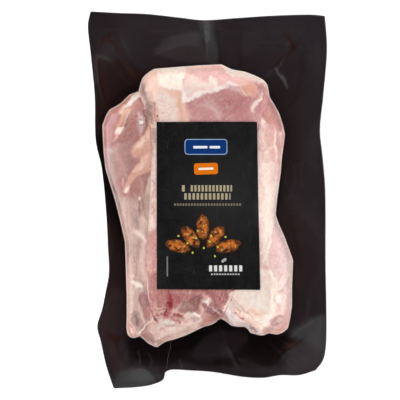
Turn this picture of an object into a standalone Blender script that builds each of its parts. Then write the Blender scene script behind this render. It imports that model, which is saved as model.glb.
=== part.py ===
"""Vacuum pack of four raw chicken drumsticks, lying flat with its window side up.

The pack is three pieces: a black back film, the sealed clear pouch with its contents, and a stuck-on
label. Everything is built in metres with +Z up. The origin is below the middle of the pack, on the
surface that the pack rests on. Outlines are given in millimetres, in the plan seen from above.
"""

import bpy
import numpy as np
from mathutils import Vector
from mathutils.bvhtree import BVHTree

MM = 0.001

# ---- Driving dimensions, in millimetres ----
FILM_THICKNESS = 0.4
TOUCH_GAP = 0.3
SEAM_LEVEL = 10.5  # height of the two films' seam where they leave the contents
EDGE_LEVEL = 5.0  # height of the pouch's outer edge
DROOP_REACH = 42.0  # distance over which the rim sinks from one level to the other
RIM_WAVE = 1.3  # how far the outer edge waves up and down
BLOCK_HEIGHT = 33.5  # mean height of the pressed contents
UPPER_ROUNDING = 15.0  # width of the rounded shoulder above the seam
LOWER_ROUNDING = 13.0  # width of the rounded flank below the seam
LABEL_THICKNESS = 0.3
LABEL_STIFFNESS = 2.0  # how far round each point the label is held up by what lies under it
BLOCK_CENTRE = (-5.0, -2.0)

# Pouch edges, each from corner to corner, clockwise from the upper left.
TOP_EDGE = ((-75, 121), (-57, 120), (-39, 119.3), (-18, 117), (-3, 115), (20, 116.8), (44, 118.3),
            (67, 118.9), (75.2, 118.2))
RIGHT_EDGE = ((75.2, 118.2), (76.5, 98), (74, 66), (72, 45), (73.5, 30), (75.4, 8), (75.6, -40),
              (75.6, -96), (73.7, -103.5), (69.4, -109.3))
BOTTOM_EDGE = ((69.4, -109.3), (59, -112.3), (47, -112.3), (36, -114), (23.5, -113.5), (3.5, -110.3),
               (-10, -109.3), (-24.6, -109), (-27.6, -111), (-28.8, -115.2), (-36, -118.5), (-45, -120),
               (-60, -120.9))
LEFT_EDGE = ((-60, -120.9), (-64.4, -107), (-68, -90.5), (-70.4, -81.3), (-65, -59), (-62.8, -47),
             (-63.5, -16), (-67.5, 21), (-71.2, 37.5), (-72, 66), (-74.7, 94), (-76.5, 113), (-75, 121))
EDGE_COUNTS = (16, 24, 26, 28)

# Outline of the four drumsticks pressed together, clockwise from the middle of the upper side.
CONTENTS_OUTLINE = (
    (-5, 86.2), (9.5, 86.8), (16.5, 83.5), (26, 82.2), (38, 75.5), (39.8, 66), (45.8, 56.3), (49.7, 42),
    (47.4, 31.5), (44.6, 0), (43.8, -9.8), (49.5, -23.7), (55.2, -38.8), (54.1, -50), (54.1, -68),
    (51.5, -82.3), (45, -86.1), (38.8, -85.6), (34.8, -86.9), (27.5, -85.2), (23.5, -81.4), (15.2, -81.3),
    (8.6, -75.9), (-4.8, -82.2), (-15.2, -87.4), (-28, -91.8), (-32.6, -94.6), (-38, -92.6), (-43.4, -87.3),
    (-47.5, -88.3), (-52, -84), (-51.6, -65), (-52.8, -26), (-58.9, 0), (-65.5, 19.5), (-67.2, 41),
    (-62.6, 57.8), (-54.5, 62.3), (-44.2, 69.6), (-40.6, 79), (-32.4, 84.5), (-20, 85.2),
)

# Swells and hollows of the contents' upper side: name, centre, half-lengths across and along, height.
SWELLS = (
    ("left thick end", (-50, 38), (17, 32), 5.0),
    ("top thick end", (4, 60), (34, 24), 5.5),
    ("lower thick end", (-14, -64), (24, 26), 4.5),
    ("right thick end", (36, -54), (19, 30), 5.0),
    ("left shank", (-46, -40), (11, 40), -8.0),
    ("right shank", (45, 20), (12, 38), -5.0),
    ("left knuckle", (-47, -82), (9, 10), -6.0),
)

# Furrows where two drumsticks press together: name, depth, half-width, route in the plan.
FURROWS = (
    ("left and middle", 4.0, 4.5,
     ((-44, 71), (-37.5, 50), (-36.5, 20), (-37, -12), (-39, -57), (-37, -76), (-42, -90))),
    ("middle and right, below", 7.0, 6.0, ((9, -78), (5, -66), (-2, -57))),
    ("top and right", 4.5, 5.0, ((41, 65), (36, 55), (33, 40))),
)

# Label corners in the plan, from the upper left, clockwise.
LABEL_CORNERS = ((-32.4, 49.7), (31.5, 49.7), (33.5, -57.1), (-32.4, -56.7))
LABEL_CELLS = (12, 20)

# Shares of the way from the block's centre to its outline, and from there to the pouch's edge.
CONTENTS_RINGS = (0.28, 0.5, 0.66, 0.78, 0.87, 0.935, 0.975, 1.0)
RIM_RINGS = (0.3, 0.65, 1.0)

# ---- Finishes: colour and roughness ----
BLACK_FILM = ((0.03, 0.022, 0.025), 0.25)
CHICKEN_UNDER_FILM = ((0.82, 0.55, 0.5), 0.3)
LABEL_STOCK = ((0.02, 0.022, 0.022), 0.6)


def spline(points, count, closed=False):
    """Even samples along a centripetal Catmull-Rom curve through the points."""
    knots = np.array(points, dtype=float)
    if closed:
        padded = np.vstack([knots[-1:], knots, knots[:2]])
    else:
        padded = np.vstack([2 * knots[0] - knots[1], knots, 2 * knots[-1] - knots[-2]])
    steps = np.linspace(0.0, 1.0, 24, endpoint=False)[:, None]
    pieces = []
    for p0, p1, p2, p3 in zip(padded, padded[1:], padded[2:], padded[3:]):
        t0 = 0.0
        t1 = t0 + np.sqrt(np.linalg.norm(p1 - p0))
        t2 = t1 + np.sqrt(np.linalg.norm(p2 - p1))
        t3 = t2 + np.sqrt(np.linalg.norm(p3 - p2))
        t = t1 + (t2 - t1) * steps
        a1 = (t1 - t) / (t1 - t0) * p0 + (t - t0) / (t1 - t0) * p1
        a2 = (t2 - t) / (t2 - t1) * p1 + (t - t1) / (t2 - t1) * p2
        a3 = (t3 - t) / (t3 - t2) * p2 + (t - t2) / (t3 - t2) * p3
        b1 = (t2 - t) / (t2 - t0) * a1 + (t - t0) / (t2 - t0) * a2
        b2 = (t3 - t) / (t3 - t1) * a2 + (t - t1) / (t3 - t1) * a3
        pieces.append((t2 - t) / (t2 - t1) * b1 + (t - t1) / (t2 - t1) * b2)
    curve = np.vstack([*pieces, knots[:1] if closed else knots[-1:]])
    run = np.concatenate([[0.0], np.cumsum(np.linalg.norm(np.diff(curve, axis=0), axis=1))])
    wanted = np.linspace(0.0, run[-1], count, endpoint=not closed)
    return np.column_stack([np.interp(wanted, run, curve[:, axis]) for axis in (0, 1)])


def pouch_outline():
    """The pouch's outer edge as one closed loop, with a point on each corner."""
    edges = (TOP_EDGE, RIGHT_EDGE, BOTTOM_EDGE, LEFT_EDGE)
    return np.vstack([spline(edge, count + 1)[:-1] for edge, count in zip(edges, EDGE_COUNTS)])


def contents_radius(angles):
    """Distance from the block's centre to the contents' outline in each direction."""
    loop = spline(CONTENTS_OUTLINE, 720, closed=True) - BLOCK_CENTRE
    bearing = np.arctan2(loop[:, 1], loop[:, 0])
    order = np.argsort(bearing)
    return np.interp(angles, bearing[order], np.hypot(loop[order, 0], loop[order, 1]), period=2 * np.pi)


def distance_to(outline, x, y, closed=True):
    """Distance of each point from an outline, or from a route where it isn't closed."""
    start = outline if closed else outline[:-1]
    run = (np.roll(outline, -1, axis=0) if closed else outline[1:]) - start
    to_point = np.stack([x, y], axis=-1)[..., None, :] - start
    share = np.clip((to_point * run).sum(-1) / (run * run).sum(-1), 0.0, 1.0)
    return np.linalg.norm(to_point - share[..., None] * run, axis=-1).min(axis=-1)


def rim_level(x, y, reach):
    """Height of the sealed rim, which droops away from the contents and waves towards its edge."""
    share = np.clip(reach / DROOP_REACH, 0.0, 1.0)
    droop = share * share * (3.0 - 2.0 * share)
    wave = np.sin(x / 17.0 + 0.6) * np.cos(y / 23.0 - 0.4) + 0.5 * np.sin((x + y) / 11.0)
    return SEAM_LEVEL + (EDGE_LEVEL - SEAM_LEVEL) * droop + RIM_WAVE * droop * wave


def quarter_ellipse(depth, width):
    """Rises from 0 on the outline to 1 at the given depth inside it, along a quarter ellipse."""
    missing = 1.0 - np.clip(depth / width, 0.0, 1.0)
    return np.sqrt(1.0 - missing * missing)


def crown_level(x, y):
    """Height of the contents' upper side without its rounded shoulder."""
    level = np.full_like(x, BLOCK_HEIGHT)
    for _, (cx, cy), (across, along), rise in SWELLS:
        level += rise * np.exp(-(((x - cx) / across) ** 2) - ((y - cy) / along) ** 2)
    for _, depth, width, route in FURROWS:
        level -= depth * np.exp(-((distance_to(spline(route, 40), x, y, closed=False) / width) ** 2))
    return level


def ring_grid(outline, loop):
    """Plan positions of the rings, their distance from the contents' outline, and which lie inside it."""
    spokes = outline - BLOCK_CENTRE
    unit = spokes / np.linalg.norm(spokes, axis=1)[:, None]
    inner = unit * contents_radius(np.arctan2(unit[:, 1], unit[:, 0]))[:, None]
    shares_in = np.array(CONTENTS_RINGS)[:, None, None]
    shares_out = np.array(RIM_RINGS)[:, None, None]
    plan = np.concatenate([shares_in * inner, inner + shares_out * (spokes - inner)]) + BLOCK_CENTRE
    reach = distance_to(loop, plan[..., 0], plan[..., 1])
    reach[len(CONTENTS_RINGS) - 1] = 0.0
    inside = np.zeros(reach.shape, dtype=bool)
    inside[: len(CONTENTS_RINGS)] = True
    return plan, reach, inside


def film_levels(plan, reach, inside):
    """Underside of the back film, and upper side of the clear film, at each ring point."""
    x, y = plan[..., 0], plan[..., 1]
    rim = rim_level(x, y, np.where(inside, 0.0, reach))
    below = np.where(inside, rim * (1.0 - quarter_ellipse(reach, LOWER_ROUNDING)), rim)
    base = rim + 2 * FILM_THICKNESS + TOUCH_GAP
    shoulder = quarter_ellipse(reach, UPPER_ROUNDING)
    above = np.where(inside, base + (crown_level(x, y) - base) * shoulder, base)
    return below, above


def new_object(name, vertices, faces, finish):
    """One closed piece with its own material; vertices come in millimetres."""
    colour, roughness = finish
    mesh = bpy.data.meshes.new(name)
    mesh.from_pydata((np.asarray(vertices) * MM).tolist(), [], faces)
    mesh.shade_smooth()
    material = bpy.data.materials.new(name)
    material.use_nodes = True
    shader = material.node_tree.nodes["Principled BSDF"]
    shader.inputs["Base Color"].default_value = (*colour, 1.0)
    shader.inputs["Roughness"].default_value = roughness
    shader.inputs["Metallic"].default_value = 0.0
    mesh.materials.append(material)
    piece = bpy.data.objects.new(name, mesh)
    bpy.context.scene.collection.objects.link(piece)
    return piece


def ring_slab(name, plan, lower, upper, finish):
    """A closed slab on the ring grid, between a lower and an upper level."""
    rings, around = lower.shape
    count = rings * around
    centre_low, centre_high = 2 * count, 2 * count + 1
    sides = [np.column_stack([plan.reshape(-1, 2), level.reshape(-1)]) for level in (lower, upper)]
    middles = [[*BLOCK_CENTRE, level[0].mean()] for level in (lower, upper)]
    vertices = np.vstack([*sides, middles])
    faces = []
    for i in range(around):
        j = (i + 1) % around
        faces.append((centre_low, i, j))
        faces.append((centre_high, count + j, count + i))
        for ring in range(rings - 1):
            a, b = ring * around, (ring + 1) * around
            faces.append((a + i, b + i, b + j, a + j))
            faces.append((count + a + i, count + a + j, count + b + j, count + b + i))
        last = (rings - 1) * around
        faces.append((last + i, count + last + i, count + last + j, last + j))
    return new_object(name, vertices, faces, finish)


def heights_under(piece, x, y):
    """Height that a stiff sheet needs at each plan point to clear the piece's facets around it."""
    mesh = piece.data
    tree = BVHTree.FromPolygons([v.co for v in mesh.vertices], [p.vertices for p in mesh.polygons])
    down = Vector((0.0, 0.0, -1.0))
    needed = np.full(x.shape, -np.inf)
    for shift_x in (-LABEL_STIFFNESS, 0.0, LABEL_STIFFNESS):
        for shift_y in (-LABEL_STIFFNESS, 0.0, LABEL_STIFFNESS):
            starts = zip((x + shift_x).ravel(), (y + shift_y).ravel())
            hits = [tree.ray_cast(Vector((px * MM, py * MM, 1.0)), down)[0].z for px, py in starts]
            needed = np.maximum(needed, np.array(hits).reshape(x.shape) / MM)
    return needed


def label_slab(pouch, finish):
    """The stuck-on label: a thin sheet that follows the window's bulge just above its facets."""
    columns, rows = LABEL_CELLS
    s = np.linspace(0.0, 1.0, columns + 1)[None, :]
    t = np.linspace(0.0, 1.0, rows + 1)[:, None]
    top_left, top_right, low_right, low_left = (np.array(corner, dtype=float) for corner in LABEL_CORNERS)
    plan = ((1 - t)[..., None] * ((1 - s)[..., None] * top_left + s[..., None] * top_right)
            + t[..., None] * ((1 - s)[..., None] * low_left + s[..., None] * low_right))
    lower = heights_under(pouch, plan[..., 0], plan[..., 1]) + TOUCH_GAP
    count = (rows + 1) * (columns + 1)
    flat = plan.reshape(-1, 2)
    vertices = np.vstack([np.column_stack([flat, lower.reshape(-1)]),
                          np.column_stack([flat, lower.reshape(-1) + LABEL_THICKNESS])])
    faces = []
    for row in range(rows):
        for column in range(columns):
            a = row * (columns + 1) + column
            b, c, d = a + 1, a + columns + 2, a + columns + 1
            faces.append((a, b, c, d))
            faces.append((count + d, count + c, count + b, count + a))
    rim = [*range(columns), *(row * (columns + 1) + columns for row in range(rows)),
           *(rows * (columns + 1) + column for column in range(columns, 0, -1)),
           *(row * (columns + 1) for row in range(rows, 0, -1))]
    for a, b in zip(rim, rim[1:] + rim[:1]):
        faces.append((a, count + a, count + b, b))
    return new_object("label", vertices, faces, finish)


def main():
    for old in list(bpy.data.objects):
        bpy.data.objects.remove(old)
    outline = pouch_outline()
    loop = spline(CONTENTS_OUTLINE, 240, closed=True)
    plan, reach, inside = ring_grid(outline, loop)
    below, above = film_levels(plan, reach, inside)
    centre_shift = -(outline.min(axis=0) + outline.max(axis=0)) / 2
    centred = plan + centre_shift
    pouch_base = below + FILM_THICKNESS + TOUCH_GAP
    ring_slab("back_film", centred, below, below + FILM_THICKNESS, BLACK_FILM)
    pouch = ring_slab("filled_pouch", centred, pouch_base, above, CHICKEN_UNDER_FILM)
    label_slab(pouch, LABEL_STOCK)


if __name__ == "__main__":
    main()
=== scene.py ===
"""Looks of a vacuum pack of four raw chicken drumsticks, lying flat with its window side up.

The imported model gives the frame: a black back film, a sealed clear pouch with its contents, and a
stuck-on label. Finer pieces stand for them here: four pressed drumsticks, a clear film drawn tight over
them, a black film with its creases and cut edge, and a printed label. Plan positions are millimetres,
seen from above, with +Y towards the pack's upper edge. Meshes are written in metres.
"""

import logging
import math
from collections.abc import Sequence
from dataclasses import dataclass, field
from enum import Enum
from functools import cached_property
from typing import Protocol

import bpy
import numpy as np
from numpy.typing import NDArray
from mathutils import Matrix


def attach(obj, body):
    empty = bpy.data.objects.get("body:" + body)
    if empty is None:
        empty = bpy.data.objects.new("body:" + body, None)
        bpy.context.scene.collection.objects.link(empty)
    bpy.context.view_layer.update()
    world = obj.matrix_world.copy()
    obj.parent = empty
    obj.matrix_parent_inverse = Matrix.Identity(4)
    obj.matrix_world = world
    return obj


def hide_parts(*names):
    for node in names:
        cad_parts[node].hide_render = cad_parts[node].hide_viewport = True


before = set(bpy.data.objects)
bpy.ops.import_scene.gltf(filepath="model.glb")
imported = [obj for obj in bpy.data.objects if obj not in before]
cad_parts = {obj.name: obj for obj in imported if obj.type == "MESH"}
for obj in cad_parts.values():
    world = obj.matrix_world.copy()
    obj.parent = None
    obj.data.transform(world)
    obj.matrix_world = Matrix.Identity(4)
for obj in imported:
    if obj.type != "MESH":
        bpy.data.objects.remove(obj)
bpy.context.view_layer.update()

logging.basicConfig(level=logging.INFO, format="%(message)s")
LOG = logging.getLogger("chicken_pack")

Array = NDArray[np.float64]
Pair = tuple[float, float]
Triple = tuple[float, float, float]
Route = Sequence[Pair]
Colour = tuple[int, int, int]
Tint = tuple[float, float, float, float]

MM = 0.001

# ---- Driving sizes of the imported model, in millimetres. The outlines follow its own closely ----
FILM_THICKNESS = 0.4
SEAM_LEVEL = 10.5
EDGE_LEVEL = 5.0
DROOP_REACH = 42.0
RIM_WAVE = 1.3
BLOCK_HEIGHT = 33.5
UPPER_ROUNDING = 15.0
LOWER_ROUNDING = 13.0
LEDGE = 0.8
BLOCK_CENTRE = (-5.0, -2.0)

TOP_EDGE = ((-75, 121), (-57, 120), (-39, 119.3), (-18, 117), (-3, 115.4), (20, 116.8), (44, 118.3),
            (67, 118.9), (75.2, 118.2))
RIGHT_EDGE = ((75.2, 118.2), (76.5, 98), (74, 66), (72, 45), (73.5, 30), (75.4, 8), (75.6, -40),
              (75.6, -96), (73.7, -103.5), (69.4, -109.3))
BOTTOM_EDGE = ((69.4, -109.3), (59, -112.3), (47, -112.3), (36, -114), (23.5, -113.5), (3.5, -110.3),
               (-10, -109.3), (-24.6, -109), (-27.6, -111), (-28.8, -115.2), (-36, -118.5), (-45, -120),
               (-60, -120.9))
LEFT_EDGE = ((-60, -120.9), (-64.6, -107), (-68.3, -90.5), (-70.4, -81.3), (-67.2, -70), (-65, -59),
             (-62.9, -47), (-63.6, -30), (-64.4, -12), (-67.5, 21), (-71.2, 37.5), (-72, 66), (-74.7, 94),
             (-76.5, 113), (-75, 121))

# Outline of the four drumsticks pressed together, clockwise from the middle of the upper side.
CONTENTS_OUTLINE = (
    (-5, 86.4), (9.2, 87), (12.4, 85.2), (16.2, 83.6), (24, 82.3), (31, 79.6), (36, 77), (38.4, 74),
    (39.2, 70), (39.8, 66.2), (42.6, 61.6), (46, 55.6), (48.6, 47.4), (49.7, 42), (49.2, 37.6), (47.8, 28),
    (47, 18), (45.8, 9), (44.8, 2), (43.7, -9.4), (46, -16), (49.6, -24), (54.9, -38.6), (54.6, -46),
    (54.2, -56), (54.2, -68), (53, -76), (51.6, -82.3), (48.4, -85), (44.6, -86.3), (39, -85.4),
    (36.6, -86.6), (34.6, -87), (30.4, -86), (27.4, -85.2), (25.8, -82.6), (23.8, -81.3), (19.6, -81.3),
    (15.2, -80.6), (12.2, -78), (8.6, -75.9), (6.6, -77), (5, -78.7), (2, -80.2), (-1.6, -81),
    (-4.8, -82.4), (-10, -85), (-15.2, -87.3), (-22, -89.6), (-26.4, -90.6), (-29.6, -92.4), (-32.2, -94.5),
    (-34.4, -93.8), (-38, -92), (-41.4, -88.8), (-43.4, -87.3), (-45, -87.8), (-47, -88.6), (-49.6, -88),
    (-51.4, -86), (-52, -82), (-51.8, -74), (-51.8, -62), (-52.4, -44), (-52.9, -27), (-55.6, -15),
    (-59, -1), (-62.4, 10), (-65.4, 20), (-66.6, 30), (-67.2, 42), (-67.4, 48), (-65.6, 53), (-64.4, 55.6),
    (-62.8, 58), (-58.6, 60.2), (-55.4, 62.2), (-52.6, 65), (-50, 67.6), (-47, 68.6), (-44.2, 69.6),
    (-43, 74.6), (-41.4, 78.6), (-38, 81.8), (-34, 84.2), (-27, 84.7), (-20, 85.3),
)

# Where two drumsticks press together, from the outline or another crease to the outline.
CREASE_LEFT = ((-44.2, 69.6), (-42, 63), (-38, 54), (-36.3, 40), (-36.2, 20), (-36.5, 6), (-38, -19),
               (-38.5, -40), (-38.5, -57), (-37, -77), (-40, -84), (-43.4, -87.3))
CREASE_MIDDLE = ((-36.3, 46), (-27, 44), (-18, 24), (-12, 2), (-6, -26), (-2, -46), (2.5, -60), (5.5, -69),
                 (8.6, -75.9))
CREASE_RIGHT = ((41.7, 63.0), (38, 61), (33.5, 50), (28, 22), (24, -10), (20, -40), (16.5, -59),
                (12.5, -69), (9.4, -76.6))

CREASE_SAMPLES = 120
OUTLINE_SAMPLES = 660
CORNER_REACH = 0.8

# Half sizes of the plan area that the rasters cover.
PLAN_HALF = (82.0, 126.0)

# Label corners in the plan, from the upper left, clockwise.
LABEL_CORNERS = ((-32.4, 49.7), (31.5, 49.7), (33.5, -57.1), (-32.4, -56.7))


# ---- Numbers on the plan ----


def smoothstep(low: float, high: float, value: Array) -> Array:
    """Cubic ease from 0 at low to 1 at high.

    Args:
        low: Value where the ease starts.
        high: Value where it ends.
        value: Values to ease.

    Returns:
        Shares from 0 to 1.
    """
    share = np.clip((value - low) / (high - low), 0.0, 1.0)
    return share * share * (3.0 - 2.0 * share)


def quarter_ellipse(depth: Array, width: float) -> Array:
    """Rise from 0 at depth 0 to 1 at the given width, along a quarter ellipse.

    Args:
        depth: Distances inside an edge.
        width: Distance over which the edge is rounded.

    Returns:
        Shares from 0 to 1.
    """
    missing = 1.0 - np.clip(depth / width, 0.0, 1.0)
    return np.sqrt(1.0 - missing * missing)


def spline(points: Route, count: int, closed: bool = False) -> Array:
    """Even samples along a centripetal Catmull-Rom curve through the points.

    Args:
        points: Plan points that the curve passes through.
        count: Number of samples.
        closed: Whether the curve runs back to its first point.

    Returns:
        Samples, shape (count, 2).
    """
    knots = np.array(points, dtype=float)
    if closed:
        padded = np.vstack([knots[-1:], knots, knots[:2]])
    else:
        padded = np.vstack([2 * knots[0] - knots[1], knots, 2 * knots[-1] - knots[-2]])
    steps = np.linspace(0.0, 1.0, 24, endpoint=False)[:, None]
    pieces = []
    for p0, p1, p2, p3 in zip(padded, padded[1:], padded[2:], padded[3:]):
        t0 = 0.0
        t1 = t0 + np.sqrt(np.linalg.norm(p1 - p0))
        t2 = t1 + np.sqrt(np.linalg.norm(p2 - p1))
        t3 = t2 + np.sqrt(np.linalg.norm(p3 - p2))
        t = t1 + (t2 - t1) * steps
        a1 = (t1 - t) / (t1 - t0) * p0 + (t - t0) / (t1 - t0) * p1
        a2 = (t2 - t) / (t2 - t1) * p1 + (t - t1) / (t2 - t1) * p2
        a3 = (t3 - t) / (t3 - t2) * p2 + (t - t2) / (t3 - t2) * p3
        b1 = (t2 - t) / (t2 - t0) * a1 + (t - t0) / (t2 - t0) * a2
        b2 = (t3 - t) / (t3 - t1) * a2 + (t - t1) / (t3 - t1) * a3
        pieces.append((t2 - t) / (t2 - t1) * b1 + (t - t1) / (t2 - t1) * b2)
    curve = np.vstack([*pieces, knots[:1] if closed else knots[-1:]])
    return even_samples(curve, count, closed)


def cornered(points: Route, count: int, reach: float) -> Array:
    """Even samples along a closed run of straight legs whose corners are rounded by parabolas.

    Args:
        points: Corners in the plan.
        count: Number of samples.
        reach: How far before and after a corner its parabola starts and ends.

    Returns:
        Samples, shape (count, 2).
    """
    knots = np.array(points, dtype=float)
    ends = []
    for shift in (1, -1):
        leg = np.roll(knots, shift, axis=0) - knots
        ends.append(knots + leg * np.minimum(reach / np.linalg.norm(leg, axis=1)[:, None], 0.45))
    t = np.linspace(0.0, 1.0, 7)[:, None, None]
    arcs = (1 - t) ** 2 * ends[0] + 2 * t * (1 - t) * knots + t**2 * ends[1]
    curve = arcs.transpose(1, 0, 2).reshape(-1, 2)
    return even_samples(np.vstack([curve, curve[:1]]), count, closed=True)


def even_samples(curve: Array, count: int, closed: bool = False) -> Array:
    """Points at even distances along a polyline.

    Args:
        curve: Polyline, shape (n, 2); a closed one repeats its first point at the end.
        count: Number of points.
        closed: Whether to leave out the repeated last point.

    Returns:
        Points, shape (count, 2).
    """
    return at_shares(curve, np.linspace(0.0, 1.0, count, endpoint=not closed))


def at_shares(curve: Array, shares: Array) -> Array:
    """Points of a polyline at shares of its length."""
    run = np.concatenate([[0.0], np.cumsum(np.linalg.norm(np.diff(curve, axis=0), axis=1))])
    return np.column_stack([np.interp(shares * run[-1], run, curve[:, axis]) for axis in (0, 1)])


def crowded(count: int, share: float) -> Array:
    """Steps from 0 to 1 that crowd towards both ends: even ones, mixed with a share of a cosine's."""
    step = np.linspace(0.0, 1.0, count)
    return (1.0 - share) * step + 0.5 * share * (1.0 - np.cos(np.pi * step))


def nearest_on(route: Array, x: Array, y: Array) -> tuple[Array, Array]:
    """Distance of plan points from a polyline, and how far along it the nearest place is.

    Each point is projected on every straight run of the polyline and the nearest projection is kept.

    Args:
        route: Polyline, shape (n, 2).
        x: Plan positions across.
        y: Plan positions along.

    Returns:
        Distances, and shares from 0 to 1 along the polyline.
    """
    flat_x, flat_y = np.ravel(x), np.ravel(y)
    start, run = route[:-1], np.diff(route, axis=0)
    square = np.maximum((run * run).sum(axis=1), 1e-9)
    distance, share = np.empty(flat_x.size), np.empty(flat_x.size)
    block = 16000
    for low in range(0, flat_x.size, block):
        part = slice(low, low + block)
        to_x = flat_x[part, None] - start[:, 0]
        to_y = flat_y[part, None] - start[:, 1]
        t = np.clip((to_x * run[:, 0] + to_y * run[:, 1]) / square, 0.0, 1.0)
        gap = np.hypot(to_x - t * run[:, 0], to_y - t * run[:, 1])
        best = gap.argmin(axis=1)
        rows = np.arange(best.size)
        distance[part] = gap[rows, best]
        share[part] = (best + t[rows, best]) / len(run)
    return distance.reshape(np.shape(x)), share.reshape(np.shape(x))


def in_box(points: Array, margin: float, x: Array, y: Array) -> NDArray[np.bool_]:
    """Whether plan points lie in the upright box round some points, widened by a margin."""
    low, high = points.min(axis=0) - margin, points.max(axis=0) + margin
    return (x > low[0]) & (x < high[0]) & (y > low[1]) & (y < high[1])


def inside_loop(loop: Array, x: Array, y: Array) -> NDArray[np.bool_]:
    """Whether plan points lie inside a closed polyline, by counting its crossings to the right.

    Args:
        loop: Closed polyline without a repeated point, shape (n, 2).
        x: Plan positions across.
        y: Plan positions along.

    Returns:
        True where inside.
    """
    following = np.roll(loop, -1, axis=0)
    inside = np.zeros(np.shape(x), dtype=bool)
    for (x0, y0), (x1, y1) in zip(loop, following):
        if y0 == y1:
            continue
        spans = (y0 > y) != (y1 > y)
        inside ^= spans & (x < (x1 - x0) * (y - y0) / (y1 - y0) + x0)
    return inside


def noise(x: Array, y: Array, cell: float, seed: int) -> Array:
    """Smooth noise from about -1 to 1: random slopes on a square lattice, eased into each other.

    Args:
        x: Plan positions across.
        y: Plan positions along.
        cell: Lattice spacing.
        seed: Which noise.

    Returns:
        Noise values.
    """
    turns = np.random.default_rng(seed).uniform(0.0, 2.0 * np.pi, (256, 256))
    u, v = x / cell + 57.3, y / cell + 91.7
    column, row = np.floor(u).astype(int), np.floor(v).astype(int)
    u, v = u - column, v - row

    def corner(across: int, up: int) -> Array:
        """Slope of one lattice corner times the way from it."""
        turn = turns[(column + across) % 256, (row + up) % 256]
        return np.cos(turn) * (u - across) + np.sin(turn) * (v - up)

    ease_u, ease_v = u**3 * (u * (6 * u - 15) + 10), v**3 * (v * (6 * v - 15) + 10)
    below = corner(0, 0) * (1 - ease_u) + corner(1, 0) * ease_u
    above = corner(0, 1) * (1 - ease_u) + corner(1, 1) * ease_u
    return 1.5 * (below * (1 - ease_v) + above * ease_v)


def fractal(x: Array, y: Array, cell: float, seed: int, octaves: int = 3) -> Array:
    """Sum of noises, each at half the spacing and half the strength of the one before.

    Args:
        x: Plan positions across.
        y: Plan positions along.
        cell: Lattice spacing of the first noise.
        seed: Which noise.
        octaves: Number of noises.

    Returns:
        Noise values.
    """
    return sum(noise(x, y, cell / 2**k, seed + k) / 2**k for k in range(octaves))


@dataclass(frozen=True)
class Raster:
    """Values on an even plan grid, read between its points."""

    left: float
    low: float
    step: float
    values: Array

    @classmethod
    def over(cls, half_width: float, half_length: float, step: float) -> tuple["Raster", Array, Array]:
        """An empty raster centred on the pack, with its plan positions.

        Args:
            half_width: Half of its size across.
            half_length: Half of its size along.
            step: Grid spacing.

        Returns:
            The raster, and the positions across and along.
        """
        across = np.arange(-half_width, half_width + step, step)
        along = np.arange(-half_length, half_length + step, step)
        x, y = np.meshgrid(across, along)
        return cls(-half_width, -half_length, step, np.zeros_like(x)), x, y

    def filled(self, values: Array) -> "Raster":
        """The same grid with other values."""
        return Raster(self.left, self.low, self.step, values)

    def at(self, x: Array, y: Array) -> Array:
        """Values at plan positions: the four nearest grid values, weighted by closeness."""
        rows, columns = self.values.shape
        u = np.clip((x - self.left) / self.step, 0.0, columns - 1.001)
        v = np.clip((y - self.low) / self.step, 0.0, rows - 1.001)
        i, j = u.astype(int), v.astype(int)
        u, v = u - i, v - j
        below = self.values[j, i] * (1 - u) + self.values[j, i + 1] * u
        above = self.values[j + 1, i] * (1 - u) + self.values[j + 1, i + 1] * u
        return below * (1 - v) + above * v

    def closed(self, radius: float) -> "Raster":
        """The surface under which no ball of the radius fits: raised by the ball, then lowered by it.

        Args:
            radius: Radius of the ball.

        Returns:
            The raster of the bridged surface.
        """
        reach = int(radius / self.step)
        steps = range(-reach, reach + 1)
        offsets = [(i, j) for i in steps for j in steps if math.hypot(i, j) * self.step <= radius]
        caps = [math.sqrt(radius**2 - (i * i + j * j) * self.step**2) - radius for i, j in offsets]
        raised = self._extreme(self.values, offsets, caps, reach, np.maximum)
        lowered = self._extreme(raised, offsets, [-cap for cap in caps], reach, np.minimum)
        return self.filled(lowered)

    @staticmethod
    def _extreme(values: Array, offsets: list, caps: list, reach: int, pick: np.ufunc) -> Array:
        """Largest or smallest of the shifted and lifted copies of the values."""
        rows, columns = values.shape
        padded = np.pad(values, reach, mode="edge")
        best = values.copy()
        for (i, j), cap in zip(offsets, caps):
            shifted = padded[reach + j : reach + j + rows, reach + i : reach + i + columns]
            pick(best, shifted + cap, out=best)
        return best

    def softened(self, passes: int) -> "Raster":
        """The raster after repeated averaging of each value with its four neighbours."""
        values = self.values
        for _ in range(passes):
            padded = np.pad(values, 1, mode="edge")
            sides = padded[:-2, 1:-1] + padded[2:, 1:-1] + padded[1:-1, :-2] + padded[1:-1, 2:]
            values = 0.5 * values + 0.125 * sides
        return self.filled(values)


# ---- Flesh: what each place is made of ----


def linear_light(seen: Colour) -> Array:
    """A colour as seen, in steps of 1/255, as linear light."""
    share = np.array(seen) / 255.0
    return np.where(share <= 0.04045, share / 12.92, ((share + 0.055) / 1.055) ** 2.4)


class Tone(Enum):
    """A surface's colour as seen, and up to three shares that its finish reads."""

    def __init__(self, seen: Colour, *shares: float) -> None:
        """Keeps the colour as linear light, and the surface shares, filled up with zeros to three."""
        self.colour = linear_light(seen)
        self.surface = np.pad(shares, (0, 3 - len(shares)))


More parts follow.
